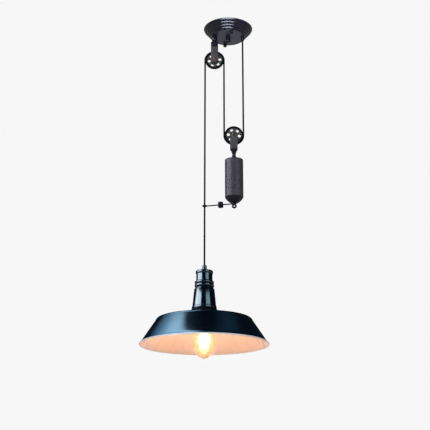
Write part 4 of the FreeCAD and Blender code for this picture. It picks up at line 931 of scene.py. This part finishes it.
def makeBulb(x, wall, seat, capFoot, neck, middle, wide, hollow, swell, tip, tipSwell):
    corners = [(neck - wall, seat), (neck - wall, capFoot, -hollow), (middle[0] - wall, middle[1], swell),
               (wide[0] - wall, wide[1], tipSwell), (0, tip + wall), (0, tip, -tipSwell), (*wide, -swell),
               (*middle, hollow), (neck, capFoot), (neck, seat)]
    piece = turned("bulb_envelope", corners, (x, 0, 0))
    piece.visible_shadow = False
    fit(piece, "lamp", [glass("amber_glass", amberLook)], "bulb_glass")


makeBulb(**bulbShape)
print("lamp made")


# Solids that keep their own shape and only get their finish.

steelLook = {
    "colour": (0.56, 0.57, 0.58), "lineColour": (0.47, 0.48, 0.50), "dull": (0.30, 0.29, 0.28),
    "dullAmount": 0.45, "lineScale": 500, "lineStretch": (1, 0.15, 1), "rough": 0.40, "roughSpread": 0.1,
    "lineStrength": 0.15,
}
nickelLook = {
    "colour": (0.66, 0.64, 0.60), "lineColour": (0.60, 0.58, 0.54), "dull": (0.45, 0.42, 0.38),
    "dullAmount": 0.3, "lineScale": 700, "lineStretch": (1, 1, 6), "rough": 0.24, "roughSpread": 0.06,
    "lineStrength": 0.1,
}
porcelainLook = {
    "colour": (0.80, 0.79, 0.75), "patch": (0.72, 0.70, 0.65), "patchScale": 30,
    "dust": (0.40, 0.38, 0.34), "dustAmount": 0.2, "rough": 0.3, "roughSpread": 0.08,
    "skinScale": 400, "skinStrength": 0.15,
}
terminalLook = {
    "colour": (0.80, 0.79, 0.74), "patch": (0.74, 0.73, 0.67), "patchScale": 50,
    "dust": (0.45, 0.44, 0.40), "dustAmount": 0.2, "rough": 0.42, "roughSpread": 0.07,
    "skinScale": 900, "skinStrength": 0.2,
}
coreLook = {
    "colour": (0.20, 0.09, 0.045), "patch": (0.26, 0.12, 0.06), "patchScale": 80,
    "dust": (0.30, 0.26, 0.22), "dustAmount": 0.15, "rough": 0.45, "roughSpread": 0.07,
    "skinScale": 1200, "skinStrength": 0.2,
}
stemLook = {"colour": (0.95, 0.96, 0.95), "roughRange": (0.05, 0.11), "ior": 1.5, "smearScale": 90}
glowLook = {"base": (0.8, 0.6, 0.3), "glow": (1.0, 0.88, 0.70), "warm": (1.0, 0.82, 0.60), "strength": 140.0}


def glowing(name, look):
    material, tree, shader = startFinish(name)
    warm = remap(tree, addNoise(tree, 700), 0, 0.5)
    feed(tree, shader, {"Base Color": look["base"], "Roughness": 0.6, "Emission Strength": look["strength"],
                        "Emission Color": blendColours(tree, warm, look["glow"], look["warm"])})
    return material


dress(machined("plated_steel", steelLook), "ceiling_crossbar", "canopy_studs", "centre_stud", "hanger_washer",
      "hanger_nut", "gland_nut", "nipple", "nipple_nuts", "terminal_screws", "guide_screws", "holder_screws",
      "bulb_supports")
dress(machined("nickel_cap", nickelLook), "bulb_cap", "bulb_contact")
dress(brassFinish, "upper_bush", "lower_bush", "thread_shell", "centre_contact")
dress(coated("porcelain", porcelainLook), "holder_inner")
dress(coated("terminal_plastic", terminalLook), "terminal_block", "upper_spacers", "lower_spacers")
dress(coated("core_insulation", coreLook), "core_wires", "lamp_cores")
dress(cordFinish, "canopy_cord_tail", "lamp_cord_tail")
dress(holderFinish, "holder_cap", "holder_skirt")
dress(glass("stem_glass", stemLook), "bulb_stem")
dress(glowing("filament_glow", glowLook), "bulb_filaments")
for node in ("bulb_stem", "bulb_filaments", "bulb_supports"):
    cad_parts[node].visible_shadow = False
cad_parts["bulb_filaments"].visible_diffuse = False      # bulbLight below lights the shade
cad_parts["bulb_filaments"].visible_glossy = False
print("solids dressed")


# Light, floor and background.

studio = {
    "background": (0.93, 0.93, 0.93),
    "overhead": (0.004, 0.018, 0.036),      # what shiny things see above them
    "skyLow": (0.80, 0.82, 0.85), "skyHigh": (0.20, 0.21, 0.23),
    "floorDepth": -3400, "floorSize": 60000, "floorPale": 0.85,
    "floorColour": (0.50, 0.50, 0.50), "floorShade": (0.48, 0.48, 0.48),
}
lamps = {
    "softKey": {"place": (-900, -2600, 500), "aim": (-30, 0, -450), "size": (1400, 1400), "brightness": 5.0,
                "colour": (1.0, 0.98, 0.96), "seenBy": "matt"},
    "canopyGlint": {"place": (-25, -330, -180), "aim": (-25, -329, 0), "size": (340, 150), "brightness": 55.0,
                    "colour": (0.86, 0.95, 1.0), "seenBy": "shiny"},
    "finialGlint": {"place": (4, -16, -300), "aim": (4, -16, 0), "size": (60, 60), "brightness": 30.0,
                    "colour": (0.90, 0.95, 1.0), "seenBy": "shiny"},
    "canopyViolet": {"place": (340, -160, -180), "aim": (339, -159, 0), "size": (200, 200), "brightness": 5.0,
                     "colour": (0.35, 0.30, 1.0), "seenBy": "shiny"},
}
bulbLook = {"place": (-70, 0, -957), "colour": (1.0, 0.40, 0.185), "watts": 0.52, "radius": 20}
# Soft windows that only shiny things see: degrees round from the camera's side, and up.
windows = {
    "leftBright": {"round": (-102, -35), "roundSoft": (8, 4), "up": (4, 42), "upSoft": (2, 4),
                   "colour": (0.80, 0.92, 1.0), "strength": 20.0},
    "leftFar": {"round": (-142, -88), "roundSoft": (24, 10), "up": (42, 85), "upSoft": (14, 5),
                "colour": (0.28, 0.66, 1.0), "strength": 5.0},
    "leftHigh": {"round": (-114, -70), "roundSoft": (24, 9), "up": (50, 85), "upSoft": (9, 5),
                 "colour": (0.46, 0.78, 1.0), "strength": 11.5},
    "rightPale": {"round": (20, 62), "roundSoft": (4, 5), "up": (4, 42), "upSoft": (2, 4),
                  "colour": (0.56, 0.92, 1.0), "strength": 7.5},
    "rightHigh": {"round": (55, 104), "roundSoft": (22, 14), "up": (48, 85), "upSoft": (10, 8),
                  "colour": (0.15, 0.55, 1.0), "strength": 0.45},
}


def areaLight(name, look):
    data = bpy.data.lights.new(name, "AREA")
    data.shape = "RECTANGLE"
    data.size, data.size_y = metres(look["size"])
    data.energy = look["brightness"] * math.pi * data.size * data.size_y
    data.color = look["colour"]
    light = addObject(name, data, look["place"])
    way = Vector(look["aim"]) - Vector(look["place"])
    light.rotation_euler = way.to_track_quat("-Z", "Y").to_euler()
    light.visible_camera = False
    light.visible_glossy = look["seenBy"] == "shiny"
    light.visible_diffuse = look["seenBy"] == "matt"


def bulbLight(look):
    data = bpy.data.lights.new("bulb_light", "POINT")
    data.energy = look["watts"]
    data.color = look["colour"]
    data.shadow_soft_size = look["radius"] * mm
    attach(addObject("bulb_light", data, look["place"]), "lamp")


def seenDirectly(tree):
    # 1 for rays that come straight from the camera, off something shiny or through glass
    rays = newNode(tree, "LightPath", {}).outputs
    straight = calculate(tree, "MAXIMUM", rays["Is Camera Ray"], rays["Is Glossy Ray"])
    return calculate(tree, "MAXIMUM", straight, rays["Is Transmission Ray"])


def mixShaders(tree, amount, first, second, output):
    mix = newNode(tree, "MixShader", {"Fac": amount, 1: first, 2: second})
    feed(tree, tree.nodes[output], {"Surface": mix.outputs["Shader"]})


def fade(tree, value, start, end):
    # 0 before start, 1 after end, smooth between
    ends = (0, 1) if start < end else (1, 0)
    result = remap(tree, value, *ends, min(start, end), max(start, end))
    result.node.interpolation_type = "SMOOTHSTEP"
    return result


def softWindow(tree, around, up, look):
    amount = 1.0
    for value, key in ((around, "round"), (up, "up")):
        low, high = look[key]
        lowSoft, highSoft = look[key + "Soft"]
        amount = multiply(tree, fade(tree, value, low - lowSoft, low + lowSoft), amount)
        amount = multiply(tree, fade(tree, value, high + highSoft, high - highSoft), amount)
    return amount


def makeSky(look, windows):
    # The camera sees a pale wall all round; shiny things see it pale below and dark overhead, with windows.
    world = bpy.data.worlds.new("studio")
    bpy.context.scene.world = world
    world.use_nodes = True
    tree = world.node_tree
    way = newNode(tree, "TexCoord", {}).outputs["Generated"]
    split = newNode(tree, "SeparateXYZ", {"Vector": way}).outputs
    toDegrees = 180 / math.pi
    up = multiply(tree, calculate(tree, "ARCSINE", split["Z"]), toDegrees)
    away = multiply(tree, split["Y"], -1)
    around = multiply(tree, calculate(tree, "ARCTAN2", split["X"], away), toDegrees)
    sky = tree.nodes["Background"]
    feed(tree, sky, {"Color": blendColours(tree, fade(tree, up, 5, 60), look["skyLow"], look["skyHigh"])})
    shiny = blendColours(tree, fade(tree, up, -2, 3), look["background"], look["overhead"])
    for window in windows.values():
        glow = tuple(value * window["strength"] for value in window["colour"])
        shiny = blendColours(tree, softWindow(tree, around, up, window), shiny, glow)
    rays = newNode(tree, "LightPath", {}).outputs
    pale = newNode(tree, "Background", {
        "Color": blendColours(tree, rays["Is Glossy Ray"], look["background"], shiny)})
    mixShaders(tree, seenDirectly(tree), sky.outputs[0], pale.outputs[0], "World Output")


def makeFloor(look):
    size = look["floorSize"] / 2 * mm
    mesh = bpy.data.meshes.new("studio_floor")
    corners = [(-size, -size, 0), (size, -size, 0), (size, size, 0), (-size, size, 0)]
    mesh.from_pydata(corners, [], [(0, 1, 2, 3)])
    floor = addObject("studio_floor", mesh, (0, 0, look["floorDepth"]))
    material, tree, shader = startFinish("studio_floor")
    patches = remap(tree, addNoise(tree, 2), 0, 1)
    feed(tree, shader, {"Base Color": blendColours(tree, patches, look["floorColour"], look["floorShade"]),
                        "Roughness": 0.9, "Specular IOR Level": 0.1})
    pale = newNode(tree, "Emission", {"Color": look["background"]})
    amount = multiply(tree, seenDirectly(tree), look["floorPale"])
    mixShaders(tree, amount, shader.outputs[0], pale.outputs[0], "Material Output")
    mesh.materials.append(material)


makeSky(studio, windows)
makeFloor(studio)
for name, look in lamps.items():
    areaLight(name, look)
bulbLight(bulbLook)
print("lights set")
